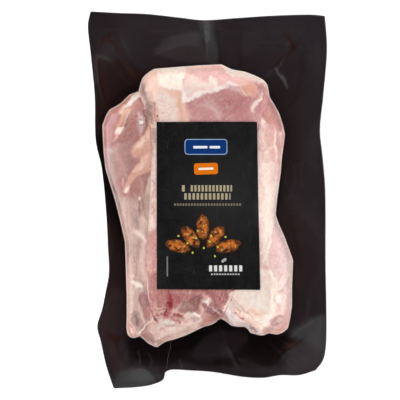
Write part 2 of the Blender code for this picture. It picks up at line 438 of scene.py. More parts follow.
class Tissue(Tone):
    """Raw chicken's surfaces, with shares of fibre, pores and wetness."""

    SKIN = ((234, 204, 194), 0.1, 0.6, 0.4)
    PALE = ((246, 226, 216), 0.0, 0.4, 0.5)
    CREAM = ((251, 231, 217), 0.0, 0.5, 0.5)
    WARM = ((243, 203, 184), 0.0, 0.4, 0.5)
    PINK = ((236, 196, 188), 0.1, 0.6, 0.4)
    FAT = ((252, 235, 219), 0.0, 0.2, 0.8)
    WHITE = ((254, 244, 236), 0.0, 0.1, 1.0)
    DULL = ((212, 178, 165), 0.1, 0.3, 0.7)
    YELLOW = ((222, 180, 150), 0.0, 0.2, 0.7)
    PEACH = ((222, 172, 153), 0.1, 0.3, 0.6)
    ROSE = ((204, 146, 145), 1.0, 0.0, 0.5)
    BLUSH = ((226, 172, 165), 1.0, 0.0, 0.5)
    BROWN = ((178, 124, 115), 0.9, 0.0, 0.5)
    RUSSET = ((196, 136, 125), 0.8, 0.0, 0.5)
    RED = ((174, 105, 102), 1.0, 0.0, 0.6)
    WINE = ((146, 89, 90), 1.0, 0.0, 0.6)
    DEEP = ((118, 66, 64), 0.8, 0.0, 0.6)
    MAUVE = ((180, 138, 133), 0.3, 0.0, 0.8)
    LILAC = ((227, 200, 199), 0.2, 0.0, 0.9)
    GREY = ((172, 147, 141), 0.2, 0.0, 0.8)
    SHANK = ((193, 164, 152), 0.2, 0.4, 0.5)
    LIGHT = ((222, 193, 180), 0.1, 0.4, 0.5)
    TAN = ((158, 122, 112), 0.3, 0.2, 0.6)
    SINEW = ((248, 229, 223), 0.3, 0.0, 1.0)
    CARTILAGE = ((224, 208, 206), 0.0, 0.0, 1.0)
    BLOOD = ((142, 30, 48), 0.0, 0.0, 0.9)
    STAIN = ((178, 84, 84), 0.0, 0.0, 0.7)
    PURPLE = ((112, 74, 80), 0.0, 0.0, 0.8)
    UMBER = ((124, 78, 72), 0.0, 0.0, 0.7)
    COPPER = ((206, 138, 114), 0.3, 0.0, 0.6)
    CLOT = ((104, 16, 32), 0.0, 0.0, 0.8)


class FilmTone(Tone):
    """The black film's tones, the sheen ones painted reflections, with shares of haze that roughen the gloss.
    """

    PLUM = ((39, 31, 34), 0.0)
    PLUM_GREY = ((42, 37, 40), 0.2)
    PLUM_SHEEN = ((53, 46, 48), 0.3)
    PLUM_DARK = ((30, 21, 24), 0.0)
    ROSEWOOD = ((47, 33, 33), 0.0)
    UMBER = ((34, 19, 16), 0.0)
    RUST = ((42, 18, 8), 0.0)
    SOOT = ((12, 4, 4), 0.0)
    BLACK = ((6, 1, 1), 0.0)
    GREY_SHEEN = ((60, 59, 59), 0.5)
    LIGHT_SHEEN = ((78, 78, 78), 0.8)


# Plain names of the tissues, for the tables.
(SKIN, PALE, CREAM, WARM, PINK, FAT, WHITE, DULL, YELLOW, PEACH, ROSE, BLUSH, BROWN, RUSSET, RED, WINE, DEEP,
 MAUVE, LILAC, GREY, SHANK, LIGHT, TAN, SINEW, CARTILAGE, BLOOD, STAIN, PURPLE, UMBER, COPPER, CLOT) = Tissue


@dataclass(frozen=True)
class Streak:
    """A band of tissue along a route, with its half-widths on the way, soft edge, strength and rise."""

    tissue: Tone
    route: Route
    widths: tuple[float, ...]
    soft: float = 1.2
    strength: float = 1.0
    rise: float = 0.0

    def mask(self, x: Array, y: Array) -> Array:
        """How much of the band a plan point has: full inside its half-width, eased out over the soft edge.

        Args:
            x: Plan positions across.
            y: Plan positions along.

        Returns:
            Shares from 0 to the band's strength.
        """
        line = spline(self.route, 4 * len(self.route) + 4)
        near = in_box(line, max(self.widths) + self.soft, x, y)
        shares = np.zeros(np.shape(x))
        distance, along = nearest_on(line, x[near], y[near])
        half = np.interp(along, np.linspace(0.0, 1.0, len(self.widths)), self.widths)
        shares[near] = self.strength * (1.0 - smoothstep(-self.soft, self.soft, distance - half))
        return shares


@dataclass(frozen=True)
class Patch:
    """An area of tissue inside a closed outline, with its soft edge, strength and rise."""

    tissue: Tone
    outline: Route
    soft: float = 2.0
    strength: float = 1.0
    rise: float = 0.0

    def mask(self, x: Array, y: Array) -> Array:
        """How much of the area each plan point has: full inside, easing out across the outline.

        Args:
            x: Plan positions across.
            y: Plan positions along.

        Returns:
            Shares from 0 to the area's strength.
        """
        loop = spline(self.outline, 6 * len(self.outline), closed=True)
        near = in_box(loop, self.soft, x, y)
        shares = np.zeros(np.shape(x))
        at_x, at_y = x[near], y[near]
        distance, _ = nearest_on(np.vstack([loop, loop[:1]]), at_x, at_y)
        depth = np.where(inside_loop(loop, at_x, at_y), distance, -distance)
        shares[near] = self.strength * smoothstep(-self.soft, self.soft, depth)
        return shares


@dataclass(frozen=True)
class Grain:
    """Fine lines or flecks of tissue inside a closed outline: their spacing, turn and cover."""

    tissue: Tone
    outline: Route
    cell: Pair
    turn: float = 0.0
    seed: int = 1
    strength: float = 0.5
    lines: bool = True
    cover: float = 0.5
    soft: float = 2.5
    rise: float = 0.0

    def mask(self, x: Array, y: Array) -> Array:
        """How much of the grain each plan point has.

        Noise is stretched by the cell along turned axes. Lines follow its zero crossings, flecks its peaks.

        Args:
            x: Plan positions across.
            y: Plan positions along.

        Returns:
            Shares from 0 to the grain's strength.
        """
        shares = Patch(self.tissue, self.outline, self.soft).mask(x, y)
        near = shares > 0.0
        turn = math.radians(self.turn)
        u = (x[near] * math.cos(turn) + y[near] * math.sin(turn)) / self.cell[0]
        v = (y[near] * math.cos(turn) - x[near] * math.sin(turn)) / self.cell[1]
        value = fractal(u, v, 1.0, self.seed, 2)
        value = 1.0 - np.abs(value) / 0.22 if self.lines else value / 0.5
        shares[near] *= self.strength * smoothstep(1.0 - self.cover - 0.4, 1.0 - self.cover + 0.4, value)
        return shares


Feature = Streak | Patch | Grain


def spot(tissue: Tone, x: float, y: float, radius: float, soft: float = 0.8, strength: float = 1.0,
         rise: float = 0.0) -> Streak:
    """A round mark of tissue, made as a very short band.

    Args:
        tissue: What it is.
        x: Centre across.
        y: Centre along.
        radius: Its radius.
        soft: Soft edge.
        strength: Share of the tissue in the mark.
        rise: How far it stands up.

    Returns:
        The mark.
    """
    return Streak(tissue, ((x - 0.1, y), (x + 0.1, y)), (radius,), soft, strength, rise)


@dataclass(frozen=True)
class FineGrain:
    """Sizes in millimetres and weights of the grain that is too fine to be drawn feature by feature."""

    mottle_cell: float = 3.2
    strand_cell: float = 1.1
    strand_weight: float = 1.4
    speck_cell: float = 0.9
    speck_weight: float = 0.9
    # Painted glints: pale flecks that gather on wet places.
    wet_glint_cell: float = 2.1
    wet_glint_weight: float = 2.4
    deep_cell: float = 2.4
    deep_weight: float = 1.8
    peaks: Pair = (0.3, 0.85)
    channel_powers: Triple = (0.6, 1.15, 1.15)


@dataclass(frozen=True)
class Look:
    """A surface's features in the order in which they lie over each other, and its own fine grain."""

    base: Tone
    features: tuple[Feature, ...]
    stray: float = 1.0
    run: float = 90.0
    fine: float = 0.0
    grain: FineGrain = FineGrain()

    def strayed(self, x: Array, y: Array) -> tuple[Array, Array]:
        """Plan positions pushed about by noise, so that no edge is straight."""
        far_x, far_y = fractal(x, y, 7.0, 11), fractal(x, y, 7.0, 23)
        near_x, near_y = fractal(x, y, 2.0, 37, 2), fractal(x, y, 2.0, 41, 2)
        return x + self.stray * (far_x + 0.6 * near_x), y + self.stray * (far_y + 0.6 * near_y)

    def painted(self, x: Array, y: Array) -> tuple[Array, Array]:
        """Colour and surface shares at plan points: each feature covers those before it by its mask.

        Args:
            x: Plan positions across.
            y: Plan positions along.

        Returns:
            Linear colours and surface shares, both of shape (n, 3).
        """
        at_x, at_y = self.strayed(x, y)
        colour = np.tile(self.base.colour, (x.size, 1))
        surface = np.tile(self.base.surface, (x.size, 1))
        for feature in self.features:
            mask = feature.mask(at_x, at_y)[:, None]
            colour += mask * (feature.tissue.colour - colour)
            surface += mask * (feature.tissue.surface - surface)
        return (self._grained(x, y, colour, surface) if self.fine else colour), surface

    def risen(self, x: Array, y: Array) -> Array:
        """Height that the features add at plan points: the sum of their masks times their rises."""
        at_x, at_y = self.strayed(x, y)
        height = np.zeros(np.shape(x))
        for feature in self.features:
            if feature.rise:
                height += feature.rise / feature.strength * feature.mask(at_x, at_y)
        return height

    def _grained(self, x: Array, y: Array, colour: Array, surface: Array) -> Array:
        """Colour with mottling, strands along the fibres, painted glints as pale flecks on wet places, and
        deep flecks.

        Args:
            x: Plan positions across.
            y: Plan positions along.
            colour: Linear colours, shape (n, 3).
            surface: Surface shares, shape (n, 3).

        Returns:
            Linear colours, shape (n, 3).
        """
        grain, turn = self.grain, math.radians(self.run)
        along = x * math.cos(turn) + y * math.sin(turn)
        aside = y * math.cos(turn) - x * math.sin(turn)
        fibre, wet = surface[:, 0], surface[:, 2]
        mottle = fractal(x, y, grain.mottle_cell, 223, 3)
        strands = fractal(aside, 0.3 * along, grain.strand_cell, 211, 3) * (0.5 + 0.5 * fibre)
        specks = fractal(x, y, grain.speck_cell, 251, 2)
        value = 1.0 + self.fine * (mottle + grain.strand_weight * strands + grain.speck_weight * specks)
        colour = colour * value[:, None] ** np.array(grain.channel_powers)
        # Painted glints: pale flecks, strongest where the tissue is wet.
        pale = smoothstep(*grain.peaks, fractal(aside, 0.5 * along, grain.wet_glint_cell, 233, 2))
        pale *= 0.2 + 0.8 * wet
        deep = smoothstep(*grain.peaks, fractal(aside, 0.45 * along, grain.deep_cell, 241, 2))
        deep *= 0.3 + 0.7 * fibre
        colour += (grain.wet_glint_weight * self.fine * pale)[:, None] * (WHITE.colour - colour)
        return colour + (grain.deep_weight * self.fine * deep)[:, None] * (WINE.colour - colour)


# ---- The pressed block: heights over the plan ----


@dataclass(frozen=True)
class Swell:
    """A broad rise or hollow of the contents: centre, half-lengths across and along, height."""

    centre: Pair
    half: Pair
    rise: float

    def at(self, x: Array, y: Array) -> Array:
        """Height at plan positions: a bell over the centre."""
        across, along = (x - self.centre[0]) / self.half[0], (y - self.centre[1]) / self.half[1]
        return self.rise * np.exp(-(across**2) - along**2)


@dataclass(frozen=True)
class Groove:
    """A crease where two bodies press together: depths along its route, and the width it rounds over."""

    route: Route
    depths: tuple[float, ...]
    width: float

    def at(self, x: Array, y: Array) -> Array:
        """Depth at plan positions: both sides roll down to the crease along parabolas."""
        distance, along = nearest_on(spline(self.route, CREASE_SAMPLES), x, y)
        depth = np.interp(along, np.linspace(0.0, 1.0, len(self.depths)), self.depths)
        return depth * np.clip(1.0 - distance / self.width, 0.0, 1.0) ** 2


@dataclass(frozen=True)
class Ripple:
    """Fine unevenness all over a surface: its height, its spacing, which noise it is, and its octaves."""

    height: float
    cell: float
    seed: int
    octaves: int = 2

    def at(self, x: Array, y: Array) -> Array:
        """Height at plan positions."""
        return self.height * fractal(x, y, self.cell, self.seed, self.octaves)


@dataclass(frozen=True)
class Pull:
    """Fine lines in the film that run out from the block's centre, highest at one depth of the contents."""

    height: float
    lines_per_radian: float
    change_along: float
    reach: float
    seed: int
    deepest: float = 0.0

    def at(self, x: Array, y: Array, depth: Array) -> Array:
        """Height at plan positions that lie at a depth inside, or outside, the contents' outline."""
        bearing = np.arctan2(y - BLOCK_CENTRE[1], x - BLOCK_CENTRE[0])
        lines = noise(bearing * self.lines_per_radian, depth * self.change_along, 1.0, self.seed)
        return self.height * lines * np.exp(-np.abs(depth - self.deepest) / self.reach)


@dataclass
class BlockForm:
    """Heights of the pressed block and of the rim around it, worked out from the model's driving sizes."""

    swells: tuple[Swell, ...] = (
        Swell((-50, 38), (17, 32), 5.0),
        Swell((4, 60), (34, 24), 5.5),
        Swell((-14, -64), (24, 26), 4.5),
        Swell((36, -54), (19, 30), 5.0),
        Swell((-46, -40), (11, 40), -8.0),
        Swell((45, 20), (12, 38), -5.0),
        Swell((-47, -82), (9, 10), -6.0),
    )
    grooves: tuple[Groove, ...] = (
        Groove(CREASE_LEFT, (2.0, 1.4, 0.8, 0.5, 0.5, 0.7, 1.0, 1.4, 2.2), 4.5),
        Groove(CREASE_MIDDLE, (0.0, 0.3, 0.5, 0.6, 0.7, 1.4), 4.0),
        Groove(CREASE_RIGHT, (1.4, 0.8, 0.5, 0.5, 0.7, 1.4), 4.0),
    )
    lumps: tuple[Ripple, ...] = (Ripple(0.5, 9.0, 71), Ripple(0.16, 2.6, 79))
    film_gap: float = 0.25
    floor_gap: float = 0.15
    roll_under: float = 0.8
    raster_step: float = 0.6

    @cached_property
    def loop(self) -> Array:
        """The contents' outline, closed by repeating its first point."""
        loop = cornered(CONTENTS_OUTLINE, OUTLINE_SAMPLES, CORNER_REACH)
        return np.vstack([loop, loop[:1]])

    @cached_property
    def depth_raster(self) -> Raster:
        """Distance inside the contents' outline, negative outside it."""
        raster, x, y = Raster.over(*PLAN_HALF, self.raster_step)
        distance, _ = nearest_on(self.loop, x, y)
        return raster.filled(np.where(inside_loop(self.loop[:-1], x, y), distance, -distance))

    def depth(self, x: Array, y: Array) -> Array:
        """Distance inside the contents' outline at plan positions."""
        return self.depth_raster.at(x, y)

    def rim(self, x: Array, y: Array) -> Array:
        """Underside of the sealed rim: it droops away from the contents and waves towards its edge."""
        droop = smoothstep(0.0, DROOP_REACH, np.maximum(-self.depth(x, y), 0.0))
        wave = np.sin(x / 17.0 + 0.6) * np.cos(y / 23.0 - 0.4) + 0.5 * np.sin((x + y) / 11.0)
        return SEAM_LEVEL + (EDGE_LEVEL - SEAM_LEVEL) * droop + RIM_WAVE * droop * wave

    def underside(self, x: Array, y: Array) -> Array:
        """Underside of the back film: flat under the block, rounded up to the rim at the outline."""
        return self.rim(x, y) * (1.0 - quarter_ellipse(np.maximum(self.depth(x, y), 0.0), LOWER_ROUNDING))

    def crown(self, x: Array, y: Array) -> Array:
        """Upper side of the block without its rounded shoulder."""
        level = np.full(np.shape(x), BLOCK_HEIGHT)
        for swell in self.swells:
            level += swell.at(x, y)
        for groove in self.grooves:
            level -= groove.at(x, y)
        return level

    def meat_top(self, x: Array, y: Array, risen: Array) -> Array:
        """Upper side of the meat: the crown with its features, brought down to the seam at the outline."""
        base = self.rim(x, y) + FILM_THICKNESS + self.film_gap
        crown = self.crown(x, y) + risen + sum(lump.at(x, y) for lump in self.lumps)
        inside = np.maximum(self.depth(x, y) - LEDGE, 0.0)
        return base + (crown - base) * quarter_ellipse(inside, UPPER_ROUNDING)

    def meat_base(self, x: Array, y: Array) -> Array:
        """Underside of the meat: it lies in the back film, and rolls up where two drumsticks meet."""
        roll = sum(groove.at(x, y) for groove in self.grooves)
        return self.underside(x, y) + FILM_THICKNESS + self.floor_gap + self.roll_under * roll


# ---- Meshes and materials ----


def make_piece(name: str, vertices: Array, quads: Array, triangles: Array | None = None) -> bpy.types.Object:
    """A smooth closed piece from arrays, turned so that its faces point outwards.

    The sum of each face's corner triple products is six times the volume, so its sign tells the side.

    Args:
        name: Name of the piece.
        vertices: Positions in millimetres, shape (n, 3).
        quads: Four-sided faces, shape (m, 4).
        triangles: Three-sided faces, shape (k, 3).

    Returns:
        The piece, linked into the scene.
    """
    triangles = np.empty((0, 3), dtype=int) if triangles is None else triangles
    fans = np.vstack([quads[:, [0, 1, 2]], quads[:, [0, 2, 3]], triangles])
    a, b, c = (vertices[fans[:, corner]] for corner in range(3))
    if np.einsum("ij,ij->i", a, np.cross(b, c)).sum() < 0.0:
        quads, triangles = quads[:, ::-1], triangles[:, ::-1]
    mesh = bpy.data.meshes.new(name)
    mesh.vertices.add(len(vertices))
    mesh.vertices.foreach_set("co", (vertices * MM).astype(np.float32).ravel())
    corners = np.concatenate([quads.ravel(), triangles.ravel()]).astype(np.int32)
    sizes = np.concatenate([np.full(len(quads), 4), np.full(len(triangles), 3)])
    mesh.loops.add(len(corners))
    mesh.loops.foreach_set("vertex_index", corners)
    mesh.polygons.add(len(sizes))
    mesh.polygons.foreach_set("loop_start", np.concatenate([[0], np.cumsum(sizes)[:-1]]).astype(np.int32))
    mesh.update(calc_edges=True)
    mesh.validate()
    mesh.polygons.foreach_set("use_smooth", np.ones(len(sizes), dtype=bool))
    piece = bpy.data.objects.new(name, mesh)
    bpy.context.scene.collection.objects.link(piece)
    return piece


def add_colours(piece: bpy.types.Object, name: str, values: Array) -> None:
    """Stores three values for each vertex as a colour attribute.

    Args:
        piece: The piece.
        name: Name of the attribute.
        values: Values, shape (n, 3).
    """
    attribute = piece.data.attributes.new(name, "FLOAT_COLOR", "POINT")
    rgba = np.column_stack([values, np.ones(len(values))])
    attribute.data.foreach_set("color", rgba.astype(np.float32).ravel())


def ring_quads(count: int, around: int) -> Array:
    """Corners of the quads between rings of points that follow each other in one list.

    Args:
        count: Number of rings.
        around: Number of points in each.

    Returns:
        Quads, shape ((count - 1) * around, 4).
    """
    i, j = np.meshgrid(np.arange(count - 1), np.arange(around), indexing="ij")
    k = (j + 1) % around
    quads = np.stack([i * around + j, i * around + k, (i + 1) * around + k, (i + 1) * around + j], axis=-1)
    return quads.reshape(-1, 4)


class NodeTree:
    """Short ways to place and join the nodes of one material."""

    def __init__(self, name: str) -> None:
        """Starts an empty material with its output node."""
        self.material = bpy.data.materials.new(name)
        self.material.use_nodes = True
        self.tree = self.material.node_tree
        self.tree.nodes.clear()
        self.output = self.tree.nodes.new("ShaderNodeOutputMaterial")

    def add(self, kind: str, settings: dict | None = None, **inputs: object) -> bpy.types.Node:
        """Places a node, with its settings and its inputs as constants or links.

        Args:
            kind: Node type without its Shader prefix.
            settings: Node properties.
            **inputs: Input values or sockets, by input name with underscores for spaces.

        Returns:
            The node.
        """
        node = self.tree.nodes.new("ShaderNode" + kind)
        for key, value in (settings or {}).items():
            setattr(node, key, value)
        for key, value in inputs.items():
            self.put(node.inputs[int(key[1:]) if key[0] == "_" else key.replace("_", " ")], value)
        return node

    def put(self, socket: bpy.types.NodeSocket, value: object) -> None:
        """Sets a socket to a constant, or links another socket to it."""
        if isinstance(value, bpy.types.NodeSocket):
            self.tree.links.new(value, socket)
        else:
            socket.default_value = value

    def maths(self, operation: str, *values: object, kind: str = "Math") -> bpy.types.NodeSocket:
        """Result of a Math node, or of a node with the same layout, on values or sockets."""
        node = self.add(kind, {"operation": operation})
        for socket, value in zip(node.inputs, values):
            self.put(socket, value)
        return node.outputs["Value" if operation == "LENGTH" else 0]

    def vectors(self, operation: str, *values: object) -> bpy.types.NodeSocket:
        """Result of a Vector Math node on values or sockets."""
        return self.maths(operation, *values, kind="VectorMath")

    def layer(self, name: str) -> bpy.types.NodeSocket:
        """A colour attribute of the piece."""
        return self.add("VertexColor", {"layer_name": name}).outputs["Color"]

    def mix(self, share: object, first: object, second: object, blend: str = "MIX") -> bpy.types.NodeSocket:
        """Colour between two colours, by a share."""
        node = self.add("Mix", {"data_type": "RGBA", "blend_type": blend})
        for index, value in ((0, share), (6, first), (7, second)):
            self.put(node.inputs[index], value)
        return node.outputs[2]

    def place(self, scale: Triple) -> bpy.types.NodeSocket:
        """Object coordinates, stretched by a scale."""
        coordinates = self.add("TexCoord").outputs["Object"]
        return self.add("Mapping", Vector=coordinates, Scale=scale).outputs[0]

    def noise(self, scale: float, detail: float = 3.0, roughness: float = 0.55,
              stretch: Triple = (1, 1, 1), distortion: float = 0.0) -> bpy.types.NodeSocket:
        """Noise from 0 to 1 over the piece; the scale is in cells per metre."""
        node = self.add("TexNoise", Vector=self.place(stretch), Scale=scale, Detail=detail,
                        Roughness=roughness, Distortion=distortion)
        return node.outputs["Fac"]

    def ease(self, value: object, low: float, high: float, first: float = 0.0,
             last: float = 1.0) -> bpy.types.NodeSocket:
        """A value's range eased smoothly into another range."""
        node = self.add("MapRange", {"interpolation_type": "SMOOTHSTEP"}, Value=value)
        for index, number in ((1, low), (2, high), (3, first), (4, last)):
            node.inputs[index].default_value = number
        return node.outputs[0]

    def tinted(self, colour: object, tint: object) -> bpy.types.NodeSocket:
        """A colour times a tint."""
        return self.mix(1.0, colour, tint, "MULTIPLY")

    def bump(self, height: object, distance: float, strength: float) -> bpy.types.NodeSocket:
        """Normal bent by a height; the distance is the height of a full step, in metres."""
        return self.add("Bump", Height=height, Distance=distance, Strength=strength).outputs[0]

    def finished(self, surface: bpy.types.NodeSocket) -> bpy.types.Material:
        """The material with its surface shader joined to the output."""
        self.put(self.output.inputs["Surface"], surface)
        return self.material

    def principled(self, **inputs: object) -> bpy.types.Material:
        """The material with a Principled shader, whose inputs are given as in add()."""
        return self.finished(self.add("BsdfPrincipled", **inputs).outputs[0])


@dataclass(frozen=True)
class RawChickenFinish:
    """Raw meat, fat and skin: painted tissue with marbling, fibres, pores and a wet gloss."""

    roughness: float = 0.5
    gloss: float = 0.3
    glow: float = 0.06
    glow_reach: Triple = (0.0025, 0.0010, 0.0007)
    relief: float = 0.0004
    mottle_tints: tuple[Tint, Tint] = ((1.02, 0.985, 0.985, 1), (0.985, 0.94, 0.93, 1))
    grain_tints: tuple[Tint, Tint] = ((0.94, 0.92, 0.92, 1), (1.05, 1.06, 1.055, 1))
    vein_tint: Tint = (0.86, 0.72, 0.72, 1)
    strand_tint: Tint = (0.50, 0.19, 0.19, 1)

    def material(self) -> bpy.types.Material:
        """Builds the material."""
        nodes = NodeTree("raw_chicken")
        fibre, pores, wet = nodes.add("SeparateColor", Color=nodes.layer("surface")).outputs
        strands = nodes.noise(2600.0, 3.0, 0.6, (1.0, 0.16, 0.4), 0.6)
        mottle = nodes.noise(330.0, 4.0, 0.6)
        speckle = nodes.noise(1500.0, 3.0, 0.7)
        veins = nodes.noise(230.0, 4.0, 0.62, (1.0, 0.7, 1.0), 1.4)
        beside_vein = nodes.maths("ABSOLUTE", nodes.maths("SUBTRACT", veins, 0.5))
        vein_line = nodes.ease(beside_vein, 0.0, 0.035, 1.0, 0.0)
        warm = nodes.mix(nodes.ease(mottle, 0.35, 0.7), *self.mottle_tints)
        grain = nodes.mix(nodes.ease(speckle, 0.3, 0.7), *self.grain_tints)
        colour = nodes.tinted(nodes.tinted(nodes.layer("tissue"), warm), grain)
        pale_line = nodes.maths("MULTIPLY", nodes.maths("MULTIPLY", vein_line, fibre), 0.22)
        colour = nodes.mix(pale_line, colour, self.vein_tint)
        strand_share = nodes.maths("MULTIPLY", fibre, nodes.ease(strands, 0.42, 0.68, 0.0, 0.16))
        colour = nodes.mix(strand_share, colour, self.strand_tint)
        pit_cells = nodes.add("TexVoronoi", {"feature": "F1"}, Vector=nodes.place((1, 1, 0.3)), Scale=520.0)
        pits = nodes.ease(pit_cells.outputs["Distance"], 0.05, 0.42, 1.0, 0.0)
        pit_share = nodes.maths("MULTIPLY", pores, pits)
        relief = nodes.maths("MULTIPLY", nodes.maths("MULTIPLY", fibre, strands), 0.6)
        relief = nodes.maths("ADD", relief, nodes.maths("MULTIPLY", speckle, 0.35))
        relief = nodes.maths("ADD", relief, nodes.maths("MULTIPLY", pit_share, 0.25))
        shine = nodes.ease(wet, 0.0, 1.0, self.roughness, self.roughness - 0.2)
        return nodes.principled(
            Base_Color=colour, Roughness=shine, Normal=nodes.bump(relief, self.relief, 0.7),
            Specular_IOR_Level=self.gloss, Subsurface_Weight=self.glow, Subsurface_Radius=self.glow_reach,
            Subsurface_Scale=1.0)


@dataclass(frozen=True)
class ClearFilmFinish:
    """Thin clear film: light passes, and only the gloss of its outer faces shows."""

    index: float = 1.22
    roughness: float = 0.12
    most_gloss: float = 0.12
    ripple: float = 0.00025

    def material(self) -> bpy.types.Material:
        """Builds the material: clear mixed with gloss by the film's own reflectance."""
        nodes = NodeTree("clear_film")
        normal = nodes.bump(nodes.noise(420.0, 3.0, 0.6), self.ripple, 0.6)
        mirror = nodes.add("Fresnel", IOR=self.index, Normal=normal).outputs[0]
        outer = nodes.maths("SUBTRACT", 1.0, nodes.add("NewGeometry").outputs["Backfacing"])
        share = nodes.maths("MINIMUM", nodes.maths("MULTIPLY", mirror, outer), self.most_gloss)
        clear = nodes.add("BsdfTransparent").outputs[0]
        gloss = nodes.add("BsdfAnisotropic", Roughness=self.roughness, Normal=normal,
                          Color=(1.0, 1.0, 1.0, 1.0)).outputs[0]
        return nodes.finished(nodes.add("MixShader", _0=share, _1=clear, _2=gloss).outputs[0])


@dataclass(frozen=True)
class BlackFilmFinish:
    """Black pouch film, brownish along its creases, with painted grey sheen and rougher haze in places, and a
    fine uneven gloss.
    """

    roughness: float = 0.34
    haze_roughness: float = 0.5
    gloss: float = 0.1
    ripple: float = 0.00006
    cloud_tints: tuple[Tint, Tint] = ((0.94, 0.94, 0.94, 1), (1.08, 1.07, 1.08, 1))

    def material(self) -> bpy.types.Material:
        """Builds the material; the attribute "tone" holds its colour, painted sheen included, and "haze" its
        share of haze.
        """
        nodes = NodeTree("black_film")
        haze = nodes.add("SeparateColor", Color=nodes.layer("haze")).outputs[0]
        cloud = nodes.mix(nodes.ease(nodes.noise(60.0, 4.0, 0.6), 0.35, 0.7), *self.cloud_tints)
        return nodes.principled(
            Base_Color=nodes.tinted(nodes.layer("tone"), cloud),
            Roughness=nodes.ease(haze, 0.0, 1.0, self.roughness, self.haze_roughness),
            Normal=nodes.bump(nodes.noise(1400.0, 3.0, 0.6), self.ripple, 0.5), Specular_IOR_Level=self.gloss)


# ---- Drumsticks ----


